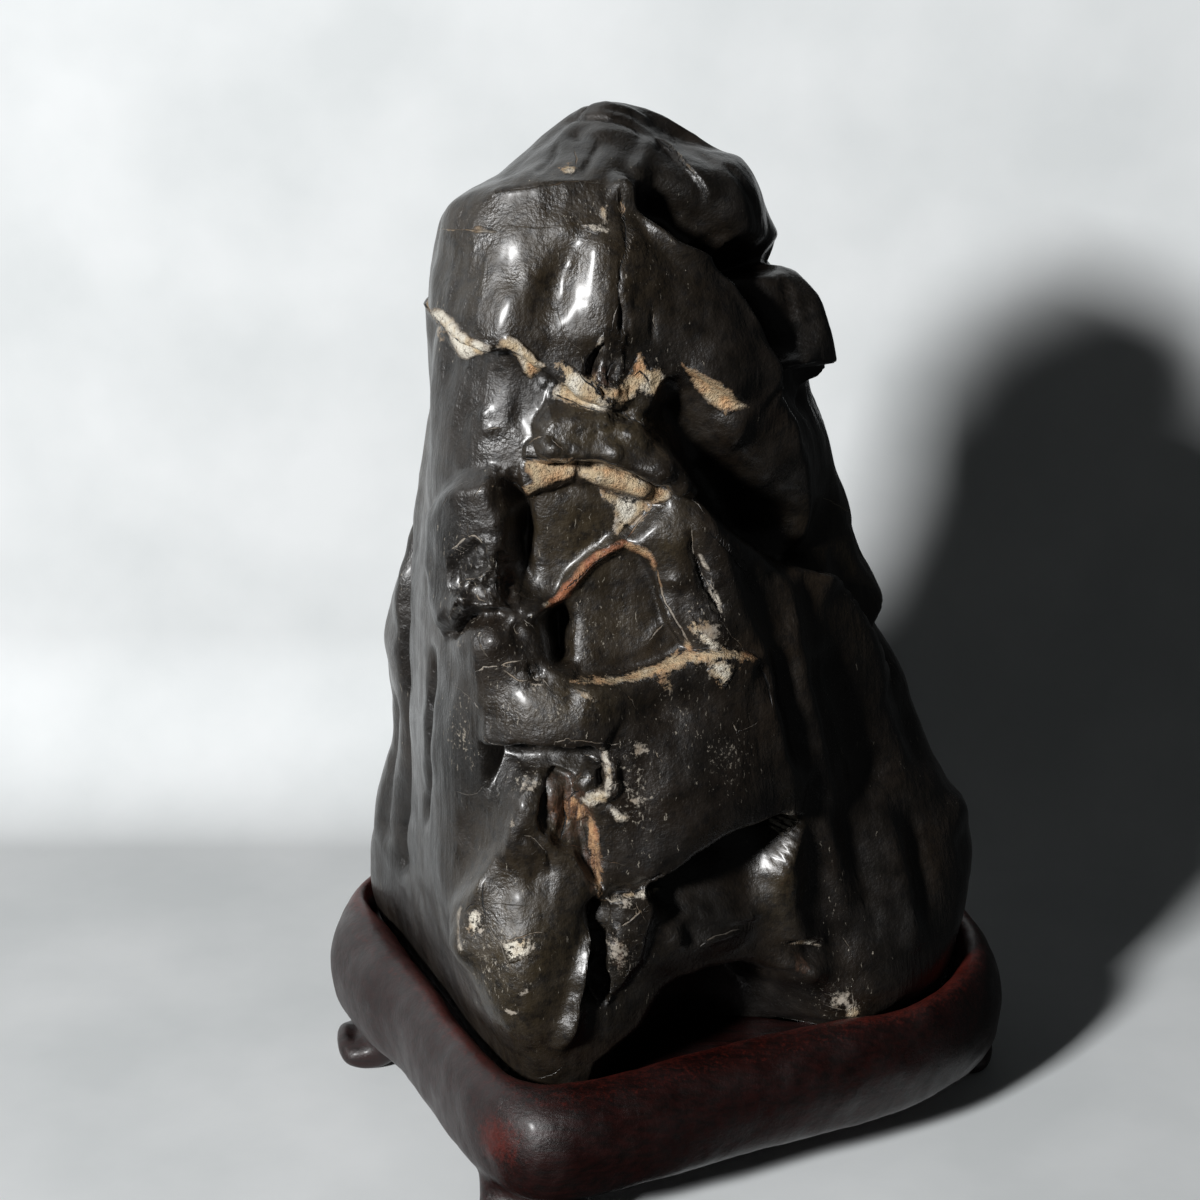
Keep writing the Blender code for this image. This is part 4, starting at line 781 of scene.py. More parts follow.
# Calcite fillings drawn by their outlines: how rusty each is, and how ragged its edge is, mm
INLAYS: tuple[Inlay, ...] = (
    # The upper vein, from its raised left end to the ragged right one
    Inlay(((-53, 215), (-50.5, 215), (-49, 214.5), (-47, 212), (-45.5, 210), (-43.5, 208.5), (-41, 207.5),
        (-38.5, 206), (-40, 205), (-42.5, 204.5), (-44.5, 203.5), (-46, 204), (-47.5, 206), (-48.5, 209),
        (-50, 211), (-52, 213)), 0.12, 0.2),
    Inlay(((-38.5, 206), (-37.5, 208), (-35.5, 209), (-34, 208.5), (-32.5, 207), (-30.5, 205.5),
        (-29, 203.5), (-27.5, 202), (-30, 200.5), (-31, 199.5), (-32.5, 200.5), (-33.5, 203.5),
        (-35.5, 205.5), (-37.5, 206)), 0.2, 0.25),
    Inlay(((-26, 202.5), (-24, 203.5), (-22, 202), (-20.5, 201), (-18, 199), (-16, 196.5), (-14.5, 194.5),
        (-12.5, 193.5), (-13.5, 192.5), (-16, 192), (-18.5, 192.5), (-21, 193), (-24, 194.5), (-26.5, 195),
        (-27, 196.5), (-25.5, 197), (-24, 199), (-24.5, 201)), 0.25, 0.7),
    Inlay(((-18.5, 199.5), (-17.5, 200.5), (-15.5, 198), (-13.5, 197), (-11.5, 198.5), (-9.5, 200.5),
        (-8.5, 203), (-7.5, 205), (-6, 203), (-5.5, 201.5), (-3, 202), (-2.5, 200.5), (-1.5, 200),
        (-3, 197), (-4, 195), (-5.5, 195), (-7.5, 196.5), (-9, 194.5), (-11.5, 194), (-14.5, 195),
        (-16.5, 197)), 0.3, 0.65),
    Inlay(((-17, 206.5), (-16, 208), (-15, 209.5), (-15.5, 206), (-16.5, 205)), 0, 0.2),
    # The short vein
    Inlay(((1.5, 203), (3.5, 202), (5.5, 201), (8, 199.5), (10.5, 198), (12.5, 196.5), (14, 194.5),
        (16.5, 193), (14, 192.5), (11.5, 191), (10, 192), (8, 193.5), (6, 195.5), (4, 197.5),
        (2.5, 200.5)), 0.42, 0.35),
    # The tongue, the band and the bloom under the arch boss
    Inlay(((-33, 180.5), (-29, 181), (-25.5, 181), (-21.5, 181), (-21, 179), (-21.5, 177), (-23.5, 176),
        (-26, 175.5), (-29, 174), (-32, 172.5), (-33, 174.5), (-31, 176), (-32, 178)), 0.5, 0.3),
    Inlay(((-21, 180.5), (-18, 180.5), (-15, 180), (-12.5, 179), (-9.5, 178), (-7, 176.5), (-4, 175),
        (-1.5, 174), (0, 172.5), (-2, 171), (-4.5, 170.5), (-7, 172), (-11, 173), (-15, 174), (-18, 175.5),
        (-21, 177)), 0.28, 0.3),
    Inlay(((-16, 174), (-11.5, 172.5), (-7, 171.5), (-4.5, 170), (-7, 168), (-9.5, 166), (-12, 163.5),
        (-13, 164.5), (-12.5, 167.5), (-13.5, 170), (-15.5, 172)), 0.2, 0.8),
    # The rusty vein across the recess, with its pale tip, and the thicker start of the thin vein
    Inlay(((-28.5, 147), (-26.5, 148.5), (-24.5, 151.5), (-22, 154), (-20, 157), (-17, 159.5), (-14, 161),
        (-11, 162.5), (-9.5, 162), (-10.5, 160.5), (-13.5, 159), (-16, 157.5), (-18, 155), (-20.5, 152),
        (-22.5, 149), (-25, 147), (-26.5, 146), (-28, 146)), 0.95, 0.15),
    Inlay(((-29, 147), (-27, 148), (-25, 147.5), (-26.5, 146), (-28, 146)), 0.1, 0.2),
    Inlay(((-10.5, 162), (-8.5, 161.5), (-6, 160.5), (-4.5, 159), (-3.5, 157), (-3.5, 155), (-4.5, 155),
        (-5, 157.5), (-6.5, 158.5), (-9, 159.5), (-11, 160.5)), 0.55, 0.2),
    Inlay(((3, 139), (4, 138), (5, 136.5), (3.5, 135.5), (2.5, 137)), 0.1, 0.2),
    # The lower vein
    Inlay(((-23.5, 129), (-19.5, 129), (-16, 129.5), (-11.5, 130), (-7, 131.5), (-3.5, 132.5),
        (-0.5, 134.5), (3, 136), (6.5, 136), (9.5, 136.5), (14, 136), (17, 135), (19.5, 133.5),
        (16.5, 133), (12, 133.5), (8, 132.5), (4, 132.5), (1, 131), (-3, 129.5), (-7, 128.5),
        (-12.5, 127.5), (-17, 127.5), (-22.5, 128)), 0.35, 0.7),
    Inlay(((16, 136), (18, 135), (19.5, 133.5), (18, 133), (15.5, 134)), 0.75, 0.25),
    Inlay(((3.5, 145), (5, 143.5), (7, 140.5), (9.5, 138.5), (12, 137), (15, 136.5), (12.5, 135.5),
        (9, 136), (6.5, 137.5), (4.5, 140.5)), 0.2, 1),
    Inlay(((9, 133), (12.5, 133.5), (14.5, 131.5), (13.5, 128.5), (12, 126), (10.5, 128.5),
        (8, 130.5)), 0.2, 1.1),
    Inlay(((-21.5, 126.5), (-19.5, 126), (-17.5, 124.5), (-16.5, 123), (-18.5, 123.5),
        (-20.5, 125)), 0.15, 0.5),
    # The chips of the jagged crack
    Inlay(((5.5, 159), (6.5, 158.5), (8, 156), (8.5, 154.5), (7, 155.5), (6, 157)), 0, 0.2),
    Inlay(((8.5, 152), (9.5, 150.5), (11, 148), (11.5, 145), (10.5, 144.5), (9.5, 147.5), (8, 150)), 0, 0.2),
    # The upright edge by the boss, chalky white that also paints the highlight on that glossy edge, and its
    # foot
    Inlay(((-16, 112), (-14, 111), (-13.5, 108), (-13, 104), (-13.5, 100.5), (-14.5, 98.5), (-16, 97.5),
        (-16.5, 98.5), (-15, 101), (-15, 105.5), (-15.5, 109.5)), 0.02, 0.35),
    Inlay(((-21, 98.5), (-19, 100.5), (-17, 101.5), (-14.5, 101), (-13.5, 100), (-14.5, 98), (-17, 97),
        (-18.5, 96.5)), 0.08, 0.35),
    Inlay(((-14, 97), (-12.5, 96.5), (-10.5, 95), (-8.5, 94.5), (-9.5, 93), (-12, 93),
        (-13.5, 94.5)), 0.15, 0.4),
    # The split core: a salmon tongue and the strip that runs down from it
    Inlay(((-24, 98.5), (-22.5, 100), (-20.5, 99), (-19, 96.5), (-19, 94.5), (-21, 93.5),
        (-23.5, 94)), 0.85, 0.5),
    Inlay(((-18.5, 95.5), (-17.5, 94), (-16, 89.5), (-16, 84.5), (-15.5, 78), (-16, 72.5), (-17, 76),
        (-18, 81.5), (-19, 87), (-19, 92)), 0.7, 0.4),
    # The lobe: the ringed spot, a pale stain whose white also paints a highlight, and the scar, a pale band
    # that also paints the highlight along the lobe's left edge; then the facet's upper band
    Inlay(((-47, 69), (-45.5, 70.5), (-43.5, 69.5), (-43.5, 66), (-45, 64), (-47, 65)), 0.05, 1.7),
    Inlay(((-49.5, 69), (-48.5, 71.5), (-48, 71), (-49, 67), (-49, 63), (-48, 59.5), (-49, 59),
        (-49.5, 63.5)), 0, 0.15),
    Inlay(((-39, 61.5), (-35.5, 63), (-31.5, 62), (-32.5, 58.5), (-35, 57), (-37.5, 56)), 0.05, 1.8),
    Inlay(((-15, 73), (-11, 74.5), (-6.5, 75.5), (-3, 76.5), (-1, 76), (-4.5, 73.5), (-8.5, 73),
        (-13, 72)), 0.15, 0.6),
    # The pillar's top and its foot: chalky white that also paints the highlights on the top and along the
    # glossy ledge of the foot
    Inlay(((22.5, 94), (25, 95.5), (29, 95.5), (29.5, 93), (27.5, 90.5), (24.5, 89), (22.5, 90.5)), 0, 0.8),
    Inlay(((26, 61.5), (28.5, 62), (31.5, 62.5), (34.5, 62.5), (36, 60.5), (33.5, 60.5), (30.5, 61.5),
        (28, 60.5)), 0, 0.2),
    Inlay(((42, 44.5), (44.5, 45), (45.5, 42.5), (43.5, 40.5), (42, 42)), 0.1, 0.6),
    # The speckle under the shoulder line
    Inlay(((-16, 237), (-14.5, 237.5), (-14.5, 235), (-14.5, 234), (-16, 234.5)), 0.35, 0.2),
    Inlay(((-20, 233), (-17.5, 233.5), (-15, 233), (-14.5, 232), (-16.5, 231.5), (-19, 232)), 0.05, 0.7),
    Inlay(((-24.5, 245.5), (-22.5, 246.5), (-20.5, 245.5), (-21.5, 244), (-23.5, 244)), 0.35, 0.6),
    # The brightest stretch of the line across the upper face
    Inlay(((-44, 232.5), (-41.5, 233), (-38, 232), (-38, 231.5), (-41.5, 231.5), (-44, 232)), 0.15, 0.12),
)
# Hairlines: half their width, mm, and how pale they are, 0 for an open crack and 1 for a filled one
HAIRS: tuple[Hair, ...] = tuple(
    Hair(*hair)
    for hair in (
        # The hidden sides
        (((-44, 186), (-30, 178), (-12, 182), (4, 174)), 0.3, 0.8, View.BACK),
        (((30, 140), (16, 132), (-2, 138), (-18, 130)), 0.26, 0.7, View.BACK),
        (((-52, 92), (-38, 86), (-28, 90)), 0.3, 0.85, View.BACK),
        (((48, 96), (38, 108), (34, 122)), 0.24, 0, View.BACK),
        (((-22, 204), (-8, 201.5), (4, 204.5), (16, 200)), 0.55, 0.9, View.LEFT),
        (((20, 128), (30, 120), (36, 104)), 0.26, 0.75, View.LEFT),
        (((0, 158), (12, 150), (24, 154)), 0.28, 0.8, View.RIGHT),
        (((10, 96), (22, 88), (36, 92)), 0.26, 0.7, View.RIGHT),
        (((-51.5, 232.5), (-47.5, 232), (-43.5, 232), (-38, 232)), 0.2, 0.9),
        (((-36, 233), (-31, 232.5), (-25.5, 232.5)), 0.13, 0.6),
        (((-4.5, 252), (-2, 250), (1, 247), (3.5, 244), (5.5, 241), (7, 237.5)), 0.3, 0),
        (((-2.5, 251.5), (0, 249), (2.5, 246), (4.5, 243.5)), 0.24, 0.8),
        (((-21.5, 249.5), (-21, 247.5), (-21, 245.5)), 0.25, 0.7),
        # The pale line along the shoulder is partly wear and partly a painted highlight on that edge
        (((-41, 239.5), (-36, 240.5), (-30.5, 241), (-25, 242), (-20, 242.5), (-14.5, 242)), 0.14, 0.45),
        (((-12, 241.5), (-11, 237), (-10.5, 230), (-11.5, 224.5), (-12, 219), (-11.5, 213),
            (-12, 207)), 0.2, 0), (((-9, 232), (-10, 228), (-10.5, 224.5)), 0.16, 0.75),
        (((-12, 216), (-13, 213.5), (-13.5, 210)), 0.2, 0.85),
        (((-5, 215), (-4.5, 212), (-4, 209.5)), 0.2, 0.7),
        (((-11, 239.5), (-11.5, 237.5), (-11.5, 234.5)), 0.3, 0.6),
        (((-25.5, 217), (-24.5, 212), (-23, 208), (-19.5, 205.5)), 0.14, 0.6),
        (((-23, 216.5), (-23, 213), (-24, 209.5)), 0.12, 0.5),
        # The vein's dark seams
        (((-38.5, 206), (-36.5, 206), (-34, 205), (-33, 202), (-31.5, 200)), 0.16, 0),
        (((-27, 196.5), (-24, 195), (-20.5, 193.5), (-16.5, 192), (-13.5, 192.5)), 0.22, 0),
        (((-21, 201.5), (-18.5, 198.5), (-16.5, 196.5), (-14, 194), (-11, 192.5)), 0.22, 0),
        (((-9.5, 199.5), (-7.5, 201), (-5.5, 199), (-5, 196.5)), 0.3, 0),
        (((-13.5, 197), (-14.5, 200), (-13.5, 202.5), (-11.5, 204)), 0.25, 0),
        (((-14.5, 194), (-11, 191.5), (-7, 189), (-2.5, 185)), 0.26, 0),
        (((-14, 194.5), (-10.5, 192.5), (-6.5, 190.5)), 0.2, 0.85),
        (((-41, 187.5), (-39.5, 188), (-37, 188.5)), 0.22, 0.7),
        (((-32, 184), (-30.5, 185.5), (-27.5, 186.5)), 0.25, 0.9),
        (((-27, 186.5), (-25, 184), (-23, 182)), 0.18, 0.8),
        (((-33.5, 181.5), (-28, 181), (-21.5, 181), (-16, 181), (-11, 179.5)), 0.25, 0),
        (((-20.5, 176), (-15, 174), (-10, 172.5), (-3.5, 170.5), (-1, 171)), 0.26, 0.55),
        (((-11, 177.5), (-7.5, 175.5), (-4, 173), (-1, 172)), 0.2, 1),
        (((-32, 172), (-29, 173.5), (-25.5, 174.5), (-23, 176)), 0.2, 0.75),
        (((-4.5, 169.5), (-7, 167), (-9, 164), (-10.5, 162)), 0.28, 0.75),
        (((-38, 177), (-35, 175.5), (-32, 173.5)), 0.35, 0),
        # The left lumps
        (((-51, 169), (-49, 173), (-46, 175.5), (-43, 176.5)), 0.16, 0.4),
        (((-41, 176), (-42.5, 173.5), (-44, 171.5)), 0.24, 0.7),
        (((-45.5, 167.5), (-45, 165), (-45.5, 163)), 0.14, 0.6),
        (((-49, 159.5), (-46.5, 162), (-44, 163.5), (-42, 162), (-41, 159.5), (-40, 155.5)), 0.28, 0.9),
        (((-49, 158.5), (-46, 159.5), (-44, 160.5)), 0.16, 0.8),
        (((-47, 152), (-45.5, 153), (-43, 153), (-41, 155), (-39.5, 155.5)), 0.24, 0.85),
        (((-44.5, 150), (-42.5, 148), (-41, 146.5)), 0.34, 0.85),
        (((-40, 155.5), (-38, 153.5), (-36.5, 152)), 0.18, 0.6),
        (((-38, 159.5), (-38.5, 157.5), (-37.5, 157), (-35, 157)), 0.2, 0.6),
        (((-50.5, 140.5), (-48.5, 140.5), (-46, 139.5)), 0.3, 0.7),
        (((-41, 146.5), (-38, 146), (-36.5, 147)), 0.26, 0.65),
        (((-43.5, 140.5), (-42.5, 136.5), (-40, 133)), 0.15, 0.7),
        (((-44.5, 130.5), (-42, 131.5), (-39, 132), (-35.5, 133), (-32.5, 133.5)), 0.24, 0.95),
        (((-38.5, 131.5), (-36.5, 130), (-34.5, 128.5), (-31.5, 128.5)), 0.26, 0.85),
        (((-34, 143.5), (-32, 142.5), (-30.5, 140.5)), 0.26, 0.75),
        (((-34.5, 143), (-35.5, 141), (-34.5, 139.5), (-33, 140)), 0.22, 0.6),
        (((-32.5, 133), (-31.5, 129.5), (-32.5, 126)), 0.4, 0),
        (((-31, 133.5), (-29.5, 130.5), (-29.5, 127)), 0.35, 0),
        (((-33.5, 128), (-31, 129.5), (-28, 127.5), (-27, 126)), 0.3, 0.8),
        # The recess and the rib right of it
        (((-4, 156.5), (-3, 152.5), (-2, 149), (0, 144.5), (2.5, 140.5), (4, 137)), 0.3, 0.85),
        (((-5.5, 137.5), (-4, 139.5), (-2.5, 141.5), (-1, 143)), 0.26, 0.8),
        (((-28, 146.5), (-22.5, 151.5), (-18, 156), (-13.5, 159)), 0.2, 0),
        (((4, 165.5), (4.5, 162), (4.5, 160), (5.5, 156), (8, 152), (10, 148), (11, 145),
            (10.5, 143)), 0.26, 0.85), (((5, 159), (6.5, 154.5), (9, 150.5), (10, 146.5)), 0.24, 0),
        (((10.5, 145), (12, 141.5), (14.5, 138), (16, 136.5)), 0.15, 0.6),
        (((3, 136.5), (6.5, 136), (10.5, 135.5), (15.5, 134.5), (19, 133.5)), 0.2, 0.7),
        (((3.5, 172.5), (5.5, 170.5), (6.5, 169)), 0.26, 0.9),
        (((6, 165.5), (11, 161), (15.5, 154.5), (19, 148)), 0.2, 0),
        (((10.5, 163), (15, 158), (18.5, 152.5)), 0.14, 0),
        # The pale line along the edge of the right mass is a painted highlight where that edge catches the
        # light
        (((27.5, 156), (32, 155), (36, 152.5), (40.5, 147), (45, 140), (49, 133), (52, 125.5)), 0.18, 0.55),
        (((18, 134.5), (21, 129.5), (23, 122)), 0.32, 0),
        (((-22, 170), (-20.5, 169.5), (-19.5, 168.5)), 0.14, 0.7),
        # The boss and the ledge under it
        (((-42.5, 113.5), (-38.5, 112.5), (-32, 112.5), (-25, 113.5), (-18.5, 113.5),
            (-14.5, 113)), 0.22, 0.75), (((-43, 117), (-42, 114), (-39, 112.5)), 0.16, 0.6),
        (((-15, 113), (-13, 112.5), (-11, 113)), 0.25, 0.9),
        (((-20.5, 110.5), (-18.5, 109.5), (-17.5, 110)), 0.24, 0.8),
        (((-21.5, 103), (-20, 104.5), (-17.5, 104.5), (-15.5, 104)), 0.2, 0.6),
        (((-14.5, 101), (-13, 102.5), (-11, 103)), 0.25, 0.85),
        (((-24, 97.5), (-22, 100.5), (-19.5, 101)), 0.24, 0),
        (((-35, 90), (-32, 89.5), (-30, 87.5), (-28, 84)), 0.18, 0.8),
        (((-30, 95.5), (-29.5, 91), (-28, 87)), 0.4, 0), (((-24.5, 98.5), (-24, 93.5), (-25, 86.5)), 0.3, 0),
        (((-20, 93), (-19, 88.5), (-18.5, 84)), 0.24, 0),
        (((-25, 87), (-22, 87), (-19, 85.5), (-16, 83.5), (-12.5, 82.5), (-8.5, 80.5)), 0.16, 0.55),
        (((-50, 101), (-45.5, 100), (-43.5, 101), (-42, 103)), 0.16, 0.5),
        (((-49.5, 128), (-46, 125), (-44, 122)), 0.16, 0.6),
        (((-46.5, 121), (-45.5, 117), (-46.5, 113.5)), 0.14, 0.6),
        (((-44.5, 123.5), (-43.5, 121.5)), 0.22, 0.9), (((-11, 126), (-9, 123.5), (-7.5, 120.5)), 0.18, 0.6),
        (((14, 118), (15, 115.5)), 0.3, 0.9), (((16, 116), (18, 117), (19.5, 118)), 0.14, 0.7),
        (((-4, 112), (-3, 109.5), (-1.5, 108)), 0.2, 0.8),
        (((-4.5, 127.5), (-2.5, 128.5), (0.5, 130.5)), 0.16, 0.6),
        # The lobe and the facet beside its crevice
        (((-39, 61), (-36, 62.5), (-32.5, 64), (-27.5, 64.5)), 0.2, 0.85),
        (((-44, 69), (-41.5, 65), (-39.5, 61.5), (-38, 57), (-36, 52.5)), 0.2, 0.65),
        (((-43, 71.5), (-40.5, 69), (-39.5, 67)), 0.16, 0.6),
        (((-48, 69.5), (-46, 71.5), (-43.5, 71.5)), 0.2, 0),
        (((-43, 78), (-43, 71.5), (-42.5, 66.5)), 0.26, 0),
        (((-45.5, 58), (-43.5, 58), (-42, 57.5)), 0.2, 0.8),
        (((-41.5, 72), (-37, 71.5), (-32.5, 71.5)), 0.12, 0.5),
        (((-17, 74), (-16, 65), (-15.5, 54.5), (-16, 44)), 0.7, 0),
        (((-15.5, 73.5), (-12, 75), (-6.5, 75.5), (-3, 77.5), (0.5, 80)), 0.35, 0),
        (((-12, 65), (-8.5, 68), (-5, 71.5)), 0.22, 0.85), (((-9, 74), (-7.5, 71), (-5.5, 67.5)), 0.18, 0.7),
        (((-14.5, 60.5), (-12.5, 63.5), (-11, 66)), 0.14, 0.6),
        (((-9.5, 58), (-9, 55.5), (-10, 52.5)), 0.18, 0.7),
        # The pale line low on the lobe, just above the rim, is a painted reflection along the stone's bottom
        # edge
        (((-31, 25), (-28.5, 25.5), (-25.5, 27.5)), 0.16, 0.5),
        # The right foot
        (((6, 59.5), (9, 62), (13, 64), (17, 65.5)), 0.22, 0.5),
        (((39, 72.5), (38.5, 70.5), (38, 68.5)), 0.24, 0.85),
        (((36, 45.5), (39, 44.5), (42.5, 43)), 0.24, 0.8), (((34.5, 50.5), (37, 48), (40.5, 47)), 0.2, 0.65),
        (((43, 50), (43.5, 47), (44, 42)), 0.24, 0.8), (((39.5, 64), (41.5, 62), (43, 59)), 0.18, 0.6),
    )
)
PATCHES: tuple[Patch, ...] = tuple(
    Patch(stain, *patch)
    for stain, patches in (
        # Cream blooms round the veins
        (Stain.CREAM, (
            ((-10, 180), 8, 2.5, 8, 0.6, View.BACK), ((-40, 88), 6, 3, -10, 0.6, View.BACK),
            ((-14, 203), 7, 2, 0, 0.65, View.LEFT), ((14, 151), 6, 2.5, 0, 0.6, View.RIGHT),
            ((-7.5, 198), 4, 3.5, 0, 0.6), ((-21.5, 196.5), 4, 2, 0, 0.5), ((-38, 174), 5, 2, -20, 0.5),
            ((-9, 168), 4, 3.5, 0, 0.8), ((-3.5, 130.5), 6, 2, 15, 0.7), ((11.5, 130.5), 4, 4, 0, 0.7),
            ((8, 140.5), 5, 3, -50, 0.75), ((-37, 149), 2.5, 3, 0, 0.5), ((-31, 127.5), 3, 1.6, 0, 0.6),
            ((-11.5, 237), 0.9, 3, 0, 0.7), ((-35, 58.5), 5, 3, 15, 0.55), ((-37, 43), 3, 1.2, 0, 0.7),
            # The cream at (-45.5, 67.5) on the lobe's ringed spot is partly pale stone and partly a painted
            # highlight
            ((-34, 48.5), 1.8, 2, 0, 0.6), ((-45.5, 67.5), 2.4, 3.4, 0, 0.6), ((-12, 59.5), 4, 10, 15, 0.55),
            ((-10, 71.5), 4, 2.5, 0, 0.6), ((-7, 111.5), 4, 3, -30, 0.6), ((-7.5, 98.5), 3, 2, 0, 0.65),
            ((-32.5, 102.5), 4, 4, 0, 0.55), ((-36, 92.5), 2.5, 5, 20, 0.5), ((40.5, 46.5), 5, 4, 0, 0.65),
            # The cream at (26.5, 91) on the pillar's top is partly pale stone and partly a painted highlight
            ((26.5, 91), 3.5, 4, 0, 0.6), ((-21.5, 207), 3, 2, 0, 0.45), ((-24, 96.5), 4.5, 7, 0, 0.62),
        )),
        # Brown and rusty fibres
        (Stain.UMBER, (
            ((-40, 90), 8, 6, 0, 0.6, View.BACK), ((-22.5, 96.5), 6, 10), ((-17.5, 83.5), 3, 10, 0, 0.9),
            ((-27, 98.5), 3, 9, 0, 0.8), ((-37.5, 150), 4, 4, 0, 0.7), ((27, 78), 4, 13, 0, 0.5),
            ((31, 57), 4, 4, 0, 0.7), ((-33, 57), 5, 6, 0, 0.5), ((-11.5, 58.5), 4, 9, 0, 0.6),
            ((-15, 200), 4, 4, 0, 0.7), ((-16, 138.5), 8, 8, 0, 0.35),
        )),
        # Warm tints of the calcite
        (Stain.TINT, (
            ((-31, 201.5), 1.6, 2.4, 0, 0.8), ((-7.5, 201.5), 3, 3, 0, 0.6), ((-14.5, 178.5), 3, 1.6, 0, 0.7),
            ((-4, 172.5), 3, 2, 0, 0.7), ((6.5, 135.5), 6, 1.2, 0, 0.6), ((17, 134.5), 3, 1.5, 0, 0.9),
            ((-20.5, 92), 2.4, 7, 0, 0.7),
        )),
        # Scratches and flecks
        (Stain.FLECKS, (
            ((-24, 120), 20, 26, 0, 0.6, View.BACK), ((26, 86), 16, 18, 0, 0.7, View.BACK),
            ((6, 190), 16, 14, 0, 0.5, View.BACK), ((20, 120), 16, 24, 0, 0.5, View.LEFT),
            ((20, 100), 16, 24, 0, 0.5, View.RIGHT), ((-8.5, 101), 9, 16), ((13, 110.5), 9, 10),
            ((-47.5, 115), 6, 14), ((-33, 103.5), 6, 5), ((-40.5, 58.5), 12, 15, 0, 0.95),
            ((-11, 59.5), 6, 13), ((-27.5, 120), 12, 6, 0, 0.85), ((1, 123.5), 10, 8, 0, 0.7),
            ((-14, 200), 14, 6, 0, 0.8), ((-45, 150.5), 9, 16, 0, 0.7), ((-38.5, 133.5), 9, 8, 0, 0.7),
            ((9.5, 134.5), 8, 9), ((-14, 142), 14, 9, 0, 0.75), ((-21.5, 162), 11, 11, 0, 0.5),
            ((40, 46.5), 7, 6), ((38.5, 75.5), 5, 16, 0, 0.5), ((-18, 237.5), 12, 6, 0, 0.55),
            ((-49, 210), 7, 7, 0, 0.5), ((6, 148), 6, 9, 0, 0.7), ((-9.5, 225.5), 12, 14, 0, 0.4),
        )),
        # Olive and brown grounds
        (Stain.OLIVE, (
            ((0, 150), 30, 34, 0, 0.8, View.BACK), ((-30, 70), 26, 20, 0, 0.7, View.BACK),
            ((16, 150), 20, 30, 0, 0.5, View.RIGHT), ((16, 170), 18, 26, 0, 0.5, View.LEFT),
            ((-14, 187.5), 17, 7), ((-20.5, 163.5), 13, 14, 0, 0.9), ((-0.5, 163.5), 5, 9, 0, 0.9),
            ((-13.5, 142), 13, 9, 0, 0.6), ((-25.5, 225), 25, 18, 0, 0.6), ((-25, 123.5), 14, 6, 0, 0.9),
            ((26, 78), 5, 13, 0, 0.8), ((-38.5, 57), 17, 24, 0, 0.9), ((-23, 93.5), 8, 14, 0, 0.7),
        )),
        # Broken, glassy stone
        (Stain.BROKEN, (
            ((-42, 90), 5, 4, 0, 0.7, View.BACK), ((24, 104), 4, 5, 0, 0.6, View.BACK),
            ((-24.5, 198), 5, 5, 0, 0.6), ((-10.5, 199.5), 8, 5, 0, 0.9), ((-10.5, 192), 6, 2, -30, 0.8),
            ((-38, 152.5), 4, 7, 0, 0.9), ((-47, 146), 3, 5, 0, 1), ((-40, 164), 2.4, 2, 0, 0.6),
            ((-30.5, 129), 4, 3, 0, 0.9), ((-35.5, 178), 5, 2, 0, 0.6), ((-27.5, 183), 5, 2, 0, 0.7),
            ((-3, 176.5), 4, 3, 0, 0.5), ((-14.5, 101), 3, 6, 0, 0.8), ((-32.5, 101), 4, 5, 0, 0.5),
            ((-27, 96), 3, 8, 0, 0.5), ((-10, 62.5), 5, 9, 0, 0.5), ((9, 150), 3, 5, 0, 0.8),
            ((40.5, 45.5), 5, 4, 0, 0.8), ((26, 92.5), 3.5, 3, 0, 0.6), ((-22, 45), 2, 7, 0, 0.3),
        )),
    )
    for patch in patches
)


# --- Finishes ---------------------------------------------------------------------------------------------


def linear(code: str) -> tuple[float, float, float, float]:
    """Turns an sRGB hex colour such as #2b2620 into linear red, green, blue and alpha."""
    channels = [int(code[start : start + 2], 16) / 255 for start in (1, 3, 5)]
    red, green, blue = (c / 12.92 if c <= 0.04045 else ((c + 0.055) / 1.055) ** 2.4 for c in channels)
    return red, green, blue, 1.0


def waves(size: float) -> float:
    """Gives the scale at which a pattern on Object coordinates has features of this size in millimetres."""
    return 1.0 / (size * MM)


def add_node(
    tree: Tree, kind: str, links: dict[str | int, Any], output: int = 0, **settings: Any
) -> Socket:
    """Adds a shader node.

    Args:
        tree: The node tree that gets it.
        kind: The node's type without its ShaderNode prefix.
        links: What goes into each input: a socket to link, or a value to set.
        output: The number of the output to hand back.
        **settings: The node's own settings.

    Returns:
        The output socket.
    """
    node = tree.nodes.new(f"ShaderNode{kind}")
    for name, value in settings.items():
        setattr(node, name, value)
    for name, value in links.items():
        if isinstance(value, Socket):
            tree.links.new(value, node.inputs[name])
        else:
            node.inputs[name].default_value = value
    return node.outputs[output]


def new_material(name: str) -> tuple[bpy.types.Material, Tree, Node]:
    """Gives a new material, its node tree and its Principled shader."""
    material = bpy.data.materials.new(name)
    material.use_nodes = True
    return material, material.node_tree, material.node_tree.nodes["Principled BSDF"]


